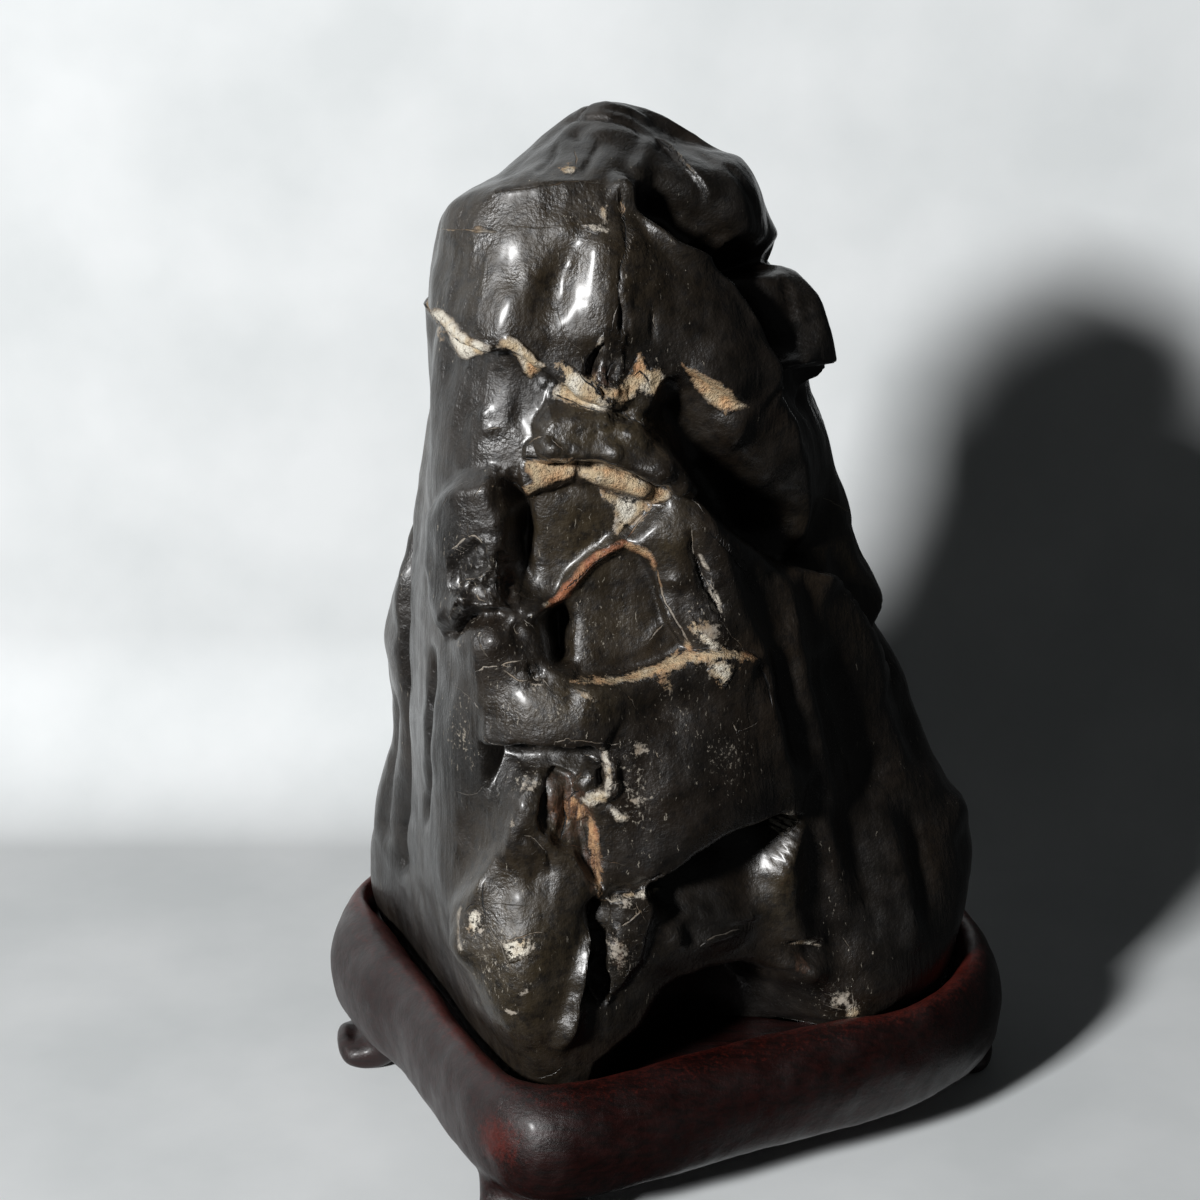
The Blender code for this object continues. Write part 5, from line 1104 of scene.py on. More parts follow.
@dataclass(frozen=True)
class PolishedLimestone:
    """A dark bituminous limestone, tumbled by water, then rubbed and waxed until it shines.

    Its calcite fillings stay matt and pale, and iron has rusted some of them. The wax gives the near-black
    ground a wet gloss that breaks up over a leathery skin.
    """

    black: str = "#110e0b"
    brown: str = "#1f1811"
    olive: str = "#3c3323"
    pit: str = "#070606"
    chalk: str = "#d9d3c4"
    cream: str = "#b8a484"
    peach: str = "#bf976d"
    rust: str = "#995f3e"
    umber: str = "#4a3325"
    scuff: str = "#8d867a"
    index: float = 1.56
    roughness: float = 0.42
    wax: float = 0.4
    wax_roughness: float = 0.22

    def material(self) -> bpy.types.Material:
        """Builds the material."""
        material, tree, shader = new_material("polished_waxed_limestone")
        place = add_node(tree, "TexCoord", {}, 3)
        stains = self.attribute(tree, "stains")
        ground = self.attribute(tree, "ground")
        hair = self.attribute(tree, "hair")
        cream = self.threshold(tree, place, stains.outputs[0], 1.1, 0.14)
        umber = self.threshold(tree, place, stains.outputs[1], 2.6, 0.35)
        flecks = self.fleck_mask(tree, place, stains.outputs[2])
        line = self.hair_mask(tree, place, hair)
        filled = add_node(tree, "Math", {0: line, 1: hair.outputs[2]}, operation="MULTIPLY")
        open_crack = add_node(tree, "Math", {0: line, 1: filled}, operation="SUBTRACT")
        pale = add_node(tree, "Math", {0: self.inlay_mask(tree, place), 1: cream}, operation="MAXIMUM")
        pale = add_node(tree, "Math", {0: pale, 1: filled}, operation="MAXIMUM")
        body = self.ground_colour(tree, place, ground)
        colour = self.mix(tree, pale, body, self.calcite_colour(tree, place))
        fibres = add_node(tree, "Math", {0: umber, 1: self.fibres(tree, place)}, operation="MULTIPLY")
        colour = self.mix(tree, fibres, colour, linear(self.umber))
        colour = self.mix(tree, flecks, colour, linear(self.scuff))
        colour = self.mix(tree, open_crack, colour, linear(self.pit))
        tree.links.new(colour, shader.inputs["Base Color"])
        matt = pale
        for mask in (fibres, flecks, open_crack):
            matt = add_node(tree, "Math", {0: matt, 1: mask}, operation="MAXIMUM")
        polish = add_node(tree, "TexNoise", {"Vector": place, "Scale": waves(6.0), "Detail": 6.0})
        rough = add_node(
            tree, "MapRange",
            {0: polish, 1: 0.35, 2: 0.65, 3: self.roughness - 0.07, 4: self.roughness + 0.12},
        )
        rough = add_node(tree, "Mix", {0: matt, 2: rough, 3: 0.6})
        tree.links.new(rough, shader.inputs["Roughness"])
        wax = add_node(tree, "MapRange", {0: matt, 1: 0.0, 2: 1.0, 3: self.wax, 4: 0.03})
        tree.links.new(wax, shader.inputs["Coat Weight"])
        shader.inputs["Coat Roughness"].default_value = self.wax_roughness
        shader.inputs["Coat IOR"].default_value = 1.45
        shader.inputs["IOR"].default_value = self.index
        tree.links.new(self.relief(tree, place, ground, hair), shader.inputs["Normal"])
        return material

    def attribute(self, tree: Tree, name: str) -> Node:
        """Reads the three numbers of one of the skin's own attributes."""
        values = add_node(tree, "Attribute", {}, 1, attribute_name=name)
        return add_node(tree, "SeparateXYZ", {0: values}).node

    def mix(self, tree: Tree, share: Any, first: Any, second: Any) -> Socket:
        """Mixes two colours by a share from 0 to 1."""
        return add_node(tree, "Mix", {0: share, 6: first, 7: second}, 2, data_type="RGBA")

    def threshold(
        self,
        tree: Tree,
        place: Socket,
        amount: Socket,
        size: float,
        softness: float,
    ) -> Socket:
        """Breaks a soft stain into ragged spots.

        Args:
            tree: The material's node tree.
            place: Object coordinates.
            amount: How strong the stain is, 0 to 1.
            size: The size of a spot, mm.
            softness: How soft a spot's edge is.

        Returns:
            The mask of the spots.
        """
        noise = add_node(
            tree, "TexNoise", {"Vector": place, "Scale": waves(size), "Detail": 4.0, "Roughness": 0.68}
        )
        total = add_node(tree, "Math", {0: amount, 1: noise}, operation="ADD")
        return add_node(tree, "MapRange", {0: total, 1: 0.98, 2: 0.98 + softness})

    def fibres(self, tree: Tree, place: Socket) -> Socket:
        """Gives upright fibres, 0 between them and 1 on them."""
        tall = add_node(tree, "Mapping", {0: place, 3: (1.0, 1.0, 0.12)})
        grain = add_node(
            tree, "TexNoise", {"Vector": tall, "Scale": waves(1.0), "Detail": 5.0, "Roughness": 0.7}
        )
        return add_node(tree, "MapRange", {0: grain, 1: 0.4, 2: 0.58})

    def inlay_mask(self, tree: Tree, place: Socket) -> Socket:
        """Gives the ragged mask of the calcite from how deep inside a filling each point lies, mm."""
        vein = self.attribute(tree, "vein")
        noise = add_node(
            tree, "TexNoise", {"Vector": place, "Scale": waves(2.2), "Detail": 6.0, "Roughness": 0.75}
        )
        ragged = add_node(tree, "MapRange", {0: noise, 1: 0.25, 2: 0.75, 3: -2.6, 4: 1.9}, clamp=False)
        ragged = add_node(tree, "Math", {0: ragged, 1: vein.outputs[2]}, operation="MULTIPLY")
        depth = add_node(tree, "Math", {0: vein.outputs[0], 1: ragged}, operation="ADD")
        return add_node(tree, "MapRange", {0: depth, 1: -0.2, 2: 0.35})

    def hair_mask(
        self, tree: Tree, place: Socket, hair: Node
    ) -> Socket:
        """Gives the hairlines from how far to the side of one each point lies and half its width, mm."""
        noise = add_node(
            tree, "TexNoise", {"Vector": place, "Scale": waves(1.0), "Detail": 4.0, "Roughness": 0.6}
        )
        uneven = add_node(tree, "MapRange", {0: noise, 1: 0.3, 2: 0.7, 3: -0.17, 4: 0.1})
        away = add_node(tree, "Math", {0: hair.outputs[0]}, operation="ABSOLUTE")
        half = add_node(tree, "Math", {0: hair.outputs[1], 1: uneven}, operation="ADD")
        inside = add_node(tree, "Math", {0: half, 1: away}, operation="SUBTRACT")
        return add_node(tree, "MapRange", {0: inside, 1: -0.07, 2: 0.07})

    def fleck_mask(
        self, tree: Tree, place: Socket, density: Socket
    ) -> Socket:
        """Gives ragged scuffs, and short scratches that lie every way, thick where the density is high."""
        share = add_node(tree, "MapRange", {0: density, 3: 0.22, 4: 0.43})
        found = self.threshold(tree, place, share, 1.3, 0.1)
        shift = add_node(
            tree, "TexNoise", {"Vector": place, "Scale": waves(2.0), "Detail": 3.0, "Roughness": 0.6}, 1
        )
        shift = add_node(tree, "VectorMath", {0: shift, 1: (0.5, 0.5, 0.5)}, operation="SUBTRACT")
        shift = add_node(tree, "VectorMath", {0: shift, "Scale": 1.6 * MM}, operation="SCALE")
        moved = add_node(tree, "VectorMath", {0: place, 1: shift}, operation="ADD")
        # How the scratches are turned, how much narrower than long they are, a cell's size and a scratch's
        for turn, length, cell, size in (
            (0.0, 0.12, 0.8, 0.17), (0.6, 0.12, 0.9, 0.17), (-0.9, 0.1, 0.8, 0.16), (2.1, 0.12, 1.0, 0.16),
        ):
            turned = add_node(
                tree, "Mapping",
                {0: moved, 1: (turn, cell, 0.0), 2: (turn, turn * 1.7, turn * 0.6), 3: (1.0, 1.0, length)},
            )
            cells = add_node(tree, "TexVoronoi", {"Vector": turned, "Scale": waves(cell)}).node
            number = add_node(tree, "SeparateXYZ", {0: cells.outputs[1]}).node
            chosen = add_node(tree, "Math", {0: density, 1: 1.1, 2: 0.008}, operation="MULTIPLY_ADD")
            chosen = add_node(tree, "Math", {0: number.outputs[0], 1: chosen}, operation="LESS_THAN")
            reach = add_node(tree, "MapRange", {0: number.outputs[1], 3: size * 0.4, 4: size})
            inside = add_node(tree, "Math", {0: reach, 1: cells.outputs[0]}, operation="SUBTRACT")
            mark = add_node(tree, "MapRange", {0: inside, 1: -0.03, 2: 0.05})
            mark = add_node(tree, "Math", {0: mark, 1: chosen}, operation="MULTIPLY")
            mark = add_node(tree, "Math", {0: mark, 1: number.outputs[2]}, operation="MULTIPLY")
            found = add_node(tree, "Math", {0: found, 1: mark}, operation="MAXIMUM")
        return found

    def ground_colour(
        self, tree: Tree, place: Socket, ground: Node
    ) -> Socket:
        """Mixes the near-black ground from black, brown and olive."""
        cloud = add_node(tree, "TexNoise", {"Vector": place, "Scale": waves(24.0), "Detail": 5.0})
        cloud = add_node(tree, "MapRange", {0: cloud, 1: 0.38, 2: 0.62})
        body = self.mix(tree, cloud, linear(self.black), linear(self.brown))
        mottle = add_node(
            tree, "TexNoise", {"Vector": place, "Scale": waves(2.4), "Detail": 5.0, "Roughness": 0.7}
        )
        olive = add_node(tree, "MapRange", {0: mottle, 1: 0.3, 2: 0.7, 3: 0.35, 4: 1.0})
        olive = add_node(tree, "Math", {0: ground.outputs[0], 1: olive}, operation="MULTIPLY")
        body = self.mix(tree, olive, body, linear(self.olive))
        grime = add_node(tree, "MapRange", {0: mottle, 1: 0.52, 2: 0.36, 3: 0.0, 4: 0.6})
        return self.mix(tree, grime, body, linear(self.pit))

    def calcite_colour(self, tree: Tree, place: Socket) -> Socket:
        """Mixes the calcite from chalk, cream, peach and rust, with brown grime in its pores."""
        depth, hue = self.attribute(tree, "vein").outputs[:2]
        speckle = add_node(
            tree, "TexNoise", {"Vector": place, "Scale": waves(1.1), "Detail": 4.0, "Roughness": 0.78}
        )
        cloud = add_node(tree, "TexNoise", {"Vector": place, "Scale": waves(4.5), "Detail": 5.0})
        cloud = add_node(tree, "MapRange", {0: cloud, 1: 0.3, 2: 0.7, 3: -0.3, 4: 0.26})
        total = add_node(tree, "Math", {0: hue, 1: cloud}, operation="ADD")
        colour = linear(self.chalk)
        for low, high, warmer in ((0.0, 0.25, self.cream), (0.3, 0.6, self.peach), (0.65, 0.95, self.rust)):
            share = add_node(tree, "MapRange", {0: total, 1: low, 2: high})
            colour = self.mix(tree, share, colour, linear(warmer))
        # A filling is dirtiest where it meets the dark stone
        rim = add_node(tree, "MapRange", {0: depth, 1: 0.1, 2: 1.1, 3: 0.6, 4: 0.0})
        colour = self.mix(tree, rim, colour, linear(self.umber))
        grime = add_node(tree, "MapRange", {0: speckle, 1: 0.47, 2: 0.35, 3: 0.0, 4: 0.85})
        return self.mix(tree, grime, colour, linear(self.umber))

    def relief(
        self,
        tree: Tree,
        place: Socket,
        ground: Node,
        hair: Node,
    ) -> Socket:
        """Gives the fine relief: a leathery skin, upright fibres, broken facets and cracks, in mm."""
        depth = self.attribute(tree, "vein").outputs[0]
        chalky = add_node(tree, "MapRange", {0: depth, 1: -0.2, 2: 0.35, 3: 0.13, 4: 0.73})
        away = add_node(tree, "Math", {0: hair.outputs[0]}, operation="ABSOLUTE")
        inside = add_node(tree, "Math", {0: hair.outputs[1], 1: away}, operation="SUBTRACT")
        line = add_node(tree, "MapRange", {0: inside, 1: -0.07, 2: 0.1})
        leather = add_node(
            tree, "TexNoise", {"Vector": place, "Scale": waves(3.2), "Detail": 3.0, "Roughness": 0.5}
        )
        tall = add_node(tree, "Mapping", {0: place, 3: (1.0, 1.0, 0.09)})
        streaks = add_node(
            tree, "TexNoise",
            {"Vector": tall, "Scale": waves(2.0), "Detail": 3.0, "Roughness": 0.5, "Distortion": 0.4},
        )
        streaks = add_node(tree, "Math", {0: streaks, 1: ground.outputs[2]}, operation="MULTIPLY")
        cells = add_node(tree, "TexVoronoi", {"Vector": place, "Scale": waves(1.5)}).node
        tilt = add_node(tree, "VectorMath", {0: cells.outputs[1], 1: (0.5, 0.5, 0.5)}, operation="SUBTRACT")
        offset = add_node(tree, "VectorMath", {0: place, 1: cells.outputs[2]}, operation="SUBTRACT")
        facet = add_node(tree, "VectorMath", {0: tilt, 1: offset}, 1, operation="DOT_PRODUCT")
        facet = add_node(tree, "Math", {0: facet, 1: 1.0 / MM}, operation="MULTIPLY")
        chips = add_node(tree, "Math", {0: facet, 1: ground.outputs[1]}, operation="MULTIPLY")
        rough = add_node(
            tree, "TexNoise", {"Vector": place, "Scale": waves(0.8), "Detail": 3.0, "Roughness": 0.72}
        )
        height = add_node(tree, "Math", {0: leather, 1: 0.33}, operation="MULTIPLY")
        for part, weight in ((streaks, 0.45), (chips, 0.8), (rough, chalky), (line, -0.22)):
            height = add_node(tree, "Math", {0: part, 1: weight, 2: height}, operation="MULTIPLY_ADD")
        return add_node(tree, "Bump", {"Height": height, "Distance": MM, "Strength": 1.0})


@dataclass(frozen=True)
class LacqueredRosewood:
    """Close-grained red hardwood under a dark satin lacquer, worn back to red along its upper edges."""

    dark: str = "#0f0605"
    red: str = "#230b09"
    worn: str = "#4c1811"
    index: float = 1.48
    roughness: float = 0.38
    lacquer: float = 0.12
    lacquer_roughness: float = 0.2

    def material(self) -> bpy.types.Material:
        """Builds the material."""
        material, tree, shader = new_material("satin_lacquered_rosewood")
        place = add_node(tree, "TexCoord", {}, 3)
        wear = add_node(tree, "Attribute", {}, 1, attribute_name="wear")
        wear = add_node(tree, "SeparateXYZ", {0: wear}).node
        along = add_node(tree, "Mapping", {0: place, 3: (0.12, 1.0, 1.0)})
        grain = add_node(
            tree, "TexNoise", {"Vector": along, "Scale": waves(1.4), "Detail": 6.0, "Roughness": 0.65}
        )
        share = add_node(tree, "MapRange", {0: grain, 1: 0.38, 2: 0.66})
        body = add_node(
            tree, "Mix", {0: share, 6: linear(self.dark), 7: linear(self.red)}, 2, data_type="RGBA"
        )
        speckle = add_node(
            tree, "TexNoise", {"Vector": place, "Scale": waves(1.2), "Detail": 6.0, "Roughness": 0.75}
        )
        total = add_node(tree, "Math", {0: wear.outputs[0], 1: speckle}, operation="ADD")
        rubbed = add_node(tree, "MapRange", {0: total, 1: 0.85, 2: 1.15})
        colour = add_node(
            tree, "Mix", {0: rubbed, 6: body, 7: linear(self.worn)}, 2, data_type="RGBA"
        )
        tree.links.new(colour, shader.inputs["Base Color"])
        uneven = add_node(tree, "TexNoise", {"Vector": place, "Scale": waves(9.0), "Detail": 4.0})
        rough = add_node(
            tree, "MapRange",
            {0: uneven, 1: 0.35, 2: 0.65, 3: self.roughness - 0.06, 4: self.roughness + 0.12},
        )
        tree.links.new(rough, shader.inputs["Roughness"])
        shader.inputs["Coat Weight"].default_value = self.lacquer
        shader.inputs["Coat Roughness"].default_value = self.lacquer_roughness
        shader.inputs["IOR"].default_value = self.index
        pores = add_node(
            tree, "TexNoise", {"Vector": along, "Scale": waves(0.6), "Detail": 3.0, "Roughness": 0.6}
        )
        height = add_node(tree, "Math", {0: uneven, 1: 0.5, 2: 0.0}, operation="MULTIPLY_ADD")
        height = add_node(tree, "Math", {0: pores, 1: 0.05, 2: height}, operation="MULTIPLY_ADD")
        height = add_node(tree, "Math", {0: speckle, 1: 0.16, 2: height}, operation="MULTIPLY_ADD")
        bump = add_node(tree, "Bump", {"Height": height, "Distance": MM, "Strength": 1.0})
        tree.links.new(bump, shader.inputs["Normal"])
        return material


@dataclass(frozen=True)
class LimePlaster:
    """Trowelled lime plaster, matt and almost white, with faint clouds where it dried unevenly."""

    white: str = "#eceff0"
    cloud: str = "#dfe3e4"
    roughness: float = 0.85

    def material(self) -> bpy.types.Material:
        """Builds the material, which is see-through from behind so that it never hides the stone."""
        material, tree, shader = new_material("trowelled_lime_plaster")
        place = add_node(tree, "TexCoord", {}, 3)
        clouds = add_node(tree, "TexNoise", {"Vector": place, "Scale": waves(60.0), "Detail": 6.0})
        share = add_node(tree, "MapRange", {0: clouds, 1: 0.35, 2: 0.65})
        colour = add_node(
            tree, "Mix", {0: share, 6: linear(self.white), 7: linear(self.cloud)}, 2, data_type="RGBA"
        )
        tree.links.new(colour, shader.inputs["Base Color"])
        shader.inputs["Roughness"].default_value = self.roughness
        shader.inputs["Specular IOR Level"].default_value = 0.2
        behind = add_node(tree, "NewGeometry", {}, 6)
        clear = add_node(tree, "BsdfTransparent", {})
        seen = add_node(tree, "MixShader", {0: behind, 1: shader.outputs[0], 2: clear})
        tree.links.new(seen, tree.nodes["Material Output"].inputs["Surface"])
        return material


# --- Pieces -----------------------------------------------------------------------------------------------


def finished_piece(bm: bmesh.types.BMesh, name: str, material: bpy.types.Material) -> bpy.types.Object:
    """Makes a smooth-shaded object of the mesh in bm, which it frees."""
    mesh = bpy.data.meshes.new(name)
    bm.to_mesh(mesh)
    bm.free()
    mesh.shade_smooth()
    mesh.materials.append(material)
    piece = bpy.data.objects.new(name, mesh)
    bpy.context.scene.collection.objects.link(piece)
    return piece


def paint(piece: bpy.types.Object, name: str, values: Array) -> None:
    """Gives every vertex of the piece three numbers under a name that its material reads."""
    attribute = piece.data.attributes.new(name, "FLOAT_VECTOR", "POINT")
    attribute.data.foreach_set("vector", values.astype(np.float32).ravel())


@dataclass
class Stone:
    """The stone: a loft over its sections, with its forms, cracks, veins and stains."""

    finish: PolishedLimestone
    columns: int = 300
    rows: int = 330
    front_share: float = 0.5  # how much closer the columns stand at the front than on average
    cap: float = 0.03  # share of the rows that closes the flat base
    base_taper: float = 3.0  # how far the flat base draws in from the lowest section, mm
    seat_blend: float = 12.0  # how far above the rim the forms reach their full height, mm
    form_wander: tuple[float, float] = (7.0, 0.6)  # the wave and the reach of the forms' wandering, mm
    fine_wander: tuple[float, float] = (4.0, 0.35)
    swells: tuple[float, float] = (0.9, 28.0)  # the height and the wave of its broad unevenness, mm
    flutes: tuple[float, float] = (0.25, 6.0)  # the same for its fine upright flutes
    chip_size: float = 3.4  # a facet of the broken places, mm
    chip_height: float = 1.0
    hair_reach: float = 1.4  # how far to the side a hairline is felt, mm

    def sections(self) -> Array:
        """Gives every section, lowest first."""
        lowest = np.array([(x, y, SEAT) for x, y in LEVEL_SECTIONS[0][1]], float)
        outward = lowest - lowest.mean(axis=0)
        lowest -= self.base_taper * outward / np.linalg.norm(outward, axis=1, keepdims=True)
        level = [np.array([(x, y, height) for x, y in outline], float) for height, outline in LEVEL_SECTIONS]
        summit = [np.array(section, float) for section in SUMMIT_SECTIONS]
        return np.array([lowest, *level, *summit, np.array([APEX] * len(lowest))])

    def loft(self, turns: Array, rises: Array) -> Array:
        """Gives the points of the smooth skin over the sections, at each turn and each rise."""
        sections = self.sections()
        rings = np.array([round_curve(section, turns) for section in sections])
        spans = np.linalg.norm(np.diff(sections, axis=0), axis=2).mean(axis=1)
        knots = np.concatenate([[0.0], np.cumsum(spans)]) / spans.sum()
        gaps = np.diff(knots)
        slopes = np.diff(rings, axis=0) / gaps[:, None, None]
        tangents = np.empty_like(rings)
        tangents[0] = slopes[0]
        tangents[-1] = slopes[-1] * (1.5, 1.5, 0.0)  # so that the skin closes in a dome
        weights = (gaps[1:, None, None], gaps[:-1, None, None])
        tangents[1:-1] = (slopes[:-1] * weights[0] + slopes[1:] * weights[1]) / (weights[0] + weights[1])
        below = np.clip(np.searchsorted(knots, rises, side="right") - 1, 0, len(gaps) - 1)
        column = np.arange(len(turns))
        gap = gaps[below][:, None]
        part = ((rises - knots[below]) / gaps[below])[:, None]
        return (
            (2 * part**3 - 3 * part**2 + 1) * rings[below, column]
            + (part**3 - 2 * part**2 + part) * gap * tangents[below, column]
            + (3 * part**2 - 2 * part**3) * rings[below + 1, column]
            + (part**3 - part**2) * gap * tangents[below + 1, column]
        )

    def seated(self, skin: Skin) -> Array:
        """Gives 0 where the stone sits in the stand, rising to 1 above the rim."""
        return smooth_step((skin.points[:, 2] - STAND_HEIGHT) / self.seat_blend)

    def shape(self, skin: Skin, forms: tuple[Form, ...], wave: float, wander: float) -> None:
        """Adds a group of forms to the skin.

        Args:
            skin: The skin to shape.
            forms: The forms of the group.
            wave: The wave of the noise that lets their lines wander, mm.
            wander: How far they wander, mm.
        """
        points = WANDER.warp(skin.points, wave, wander)
        lift = np.zeros(len(points))
        push = np.zeros(len(points))
        for form in forms:
            if form.straight_in:
                push += form.lift(skin, points)
            else:
                lift += form.lift(skin, points)
        lift *= np.maximum(self.seated(skin), lift < 0)
        middle = self.sections()[0][:, :2].mean(axis=0)
        outward = skin.points[:, :2] - middle
        outward /= np.maximum(np.linalg.norm(outward, axis=1, keepdims=True), 1.0)
        shaped = skin.points + skin.normals * lift[:, None]
        shaped[:, :2] += outward * push[:, None]
        skin.place(shaped)

    def weather(self, skin: Skin, broken: Array) -> None:
        """Adds the stone's natural waves, its fine flutes and the chips of its broken places."""
        height, wave = self.swells
        lift = height * NATURE.layers(skin.points / wave)
        height, wave = self.flutes
        lift += height * NATURE.layers(skin.points * (1.0, 1.0, 0.35) / wave + 9.0, 2)
        chips = NATURE.facets(NATURE.warp(skin.points, 6.0, 1.2) / self.chip_size)
        lift += self.chip_height * chips * broken
        skin.place(skin.points + skin.normals * (lift * self.seated(skin))[:, None])

    def flatten_base(self, skin: Skin, upward: Array) -> None:
        """Keeps the lowest ring level and closes it with a flat base."""
        points = skin.points.copy()
        points[:, 2] = np.maximum(points[:, 2], SEAT)
        capped = upward == 0.0
        rim_rise = skin.rises[capped].max()
        on_rim = skin.rises == rim_rise
        rim = {round(turn, 6): point for turn, point in zip(skin.turns[on_rim], points[on_rim])}
        middle = np.mean(list(rim.values()), axis=0)
        for index in np.flatnonzero(capped):
            edge = rim.get(round(skin.turns[index], 6), middle)
            points[index] = middle + (edge - middle) * skin.rises[index] / rim_rise
            points[index, 2] = SEAT
        skin.place(points)

    def stain_amounts(self, skin: Skin) -> dict[Stain, Array]:
        """Gives how strong each stain is at each vertex, 0 to 1."""
        points = WANDER.warp(skin.points, 5.0, 0.7)
        amounts = {stain: np.zeros(len(points)) for stain in Stain}
        for patch in PATCHES:
            centre = skin.carry(patch.view, (patch.centre,))[0]
            shape = round_patch(points, skin.normals, centre, patch.across, patch.along, patch.turn)
            amounts[patch.stain] = np.maximum(amounts[patch.stain], patch.strength * shape)
        return amounts

    def inlay_depths(self, skin: Skin, tint: Array) -> Array:
        """Gives how deep inside a filling each vertex lies, how rusty it is and how ragged its edge is."""
        points = WANDER.warp(skin.points, 2.5, 0.22)
        depth = np.full(len(points), -4.0)
        rust = np.zeros(len(points))
        ragged = np.full(len(points), 0.2)
        shown = facing_eye(points, skin.normals) > 0.02
        for inlay in INLAYS:
            inside = np.where(shown, inside_outline(points, inlay.outline), -4.0)
            deeper = (inside > depth) & (inside > -4.0)
            depth[deeper] = inside[deeper]
            rust[deeper] = inlay.rust
            ragged[deeper] = inlay.ragged
        return np.stack([depth, np.maximum(rust, tint), ragged], axis=1)

    def hairlines(self, skin: Skin) -> Array:
        """Gives how far each vertex is beside its nearest hairline, half its width and its paleness."""
        points = WANDER.warp(skin.points, 3.0, 0.3)
        side = np.full(len(points), self.hair_reach)
        half = np.full(len(points), -self.hair_reach)
        pale = np.zeros(len(points))
        for hair in HAIRS:
            path = open_curve(skin.carry(hair.view, hair.path), 1.5)
            near = close_to(points, path, self.hair_reach)
            run = run_along(points[near], path)
            closer = run.nearest < np.abs(side[near])
            chosen = near[closer]
            below = run.below(points[near], skin.normals[near])[closer]
            side[chosen] = np.where(below, run.nearest[closer], -run.nearest[closer])
            half[chosen] = hair.half_width * run.fade(3.0)[closer] - 0.04
            pale[chosen] = hair.pale
        return np.stack([side, half, pale], axis=1)

    def build(self) -> bpy.types.Object:
        """Builds the stone."""
        skin = Skin(self.columns, self.rows)
        turns = skin.turns - self.front_share * np.sin(2 * math.pi * skin.turns) / (2 * math.pi)
        upward = np.clip((skin.rises - self.cap) / (1 - self.cap), 0.0, 1.0)
        skin.place(self.loft(turns % 1.0, upward))
        self.shape(skin, FORMS, *self.form_wander)
        self.shape(skin, FINE_FORMS, *self.fine_wander)
        self.weather(skin, self.stain_amounts(skin)[Stain.BROKEN])
        self.flatten_base(skin, upward)
        amounts = self.stain_amounts(skin)
        veins = self.inlay_depths(skin, amounts[Stain.TINT])
        hairs = self.hairlines(skin)
        flanks = 0.15 + 0.85 * smooth_step((np.abs(skin.normals[:, 0]) - 0.35) / 0.4)
        skin.place(skin.points * MM)
        stone = finished_piece(skin.bm, "stone_surface", self.finish.material())
        paint(stone, "vein", veins)
        paint(stone, "hair", hairs)
        stains = [amounts[stain] for stain in (Stain.CREAM, Stain.UMBER, Stain.FLECKS)]
        paint(stone, "stains", np.stack(stains, axis=1))
        paint(stone, "ground", np.stack([amounts[Stain.OLIVE], amounts[Stain.BROKEN], flanks], axis=1))
        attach(stone, BODY)
        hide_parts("stone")
        return stone


@dataclass(frozen=True)
class Foot:
    """One scrolled foot: where it leaves the apron, the side it faces and half its width there."""

    name: str
    place: Point
    facing: float
    half_width: float


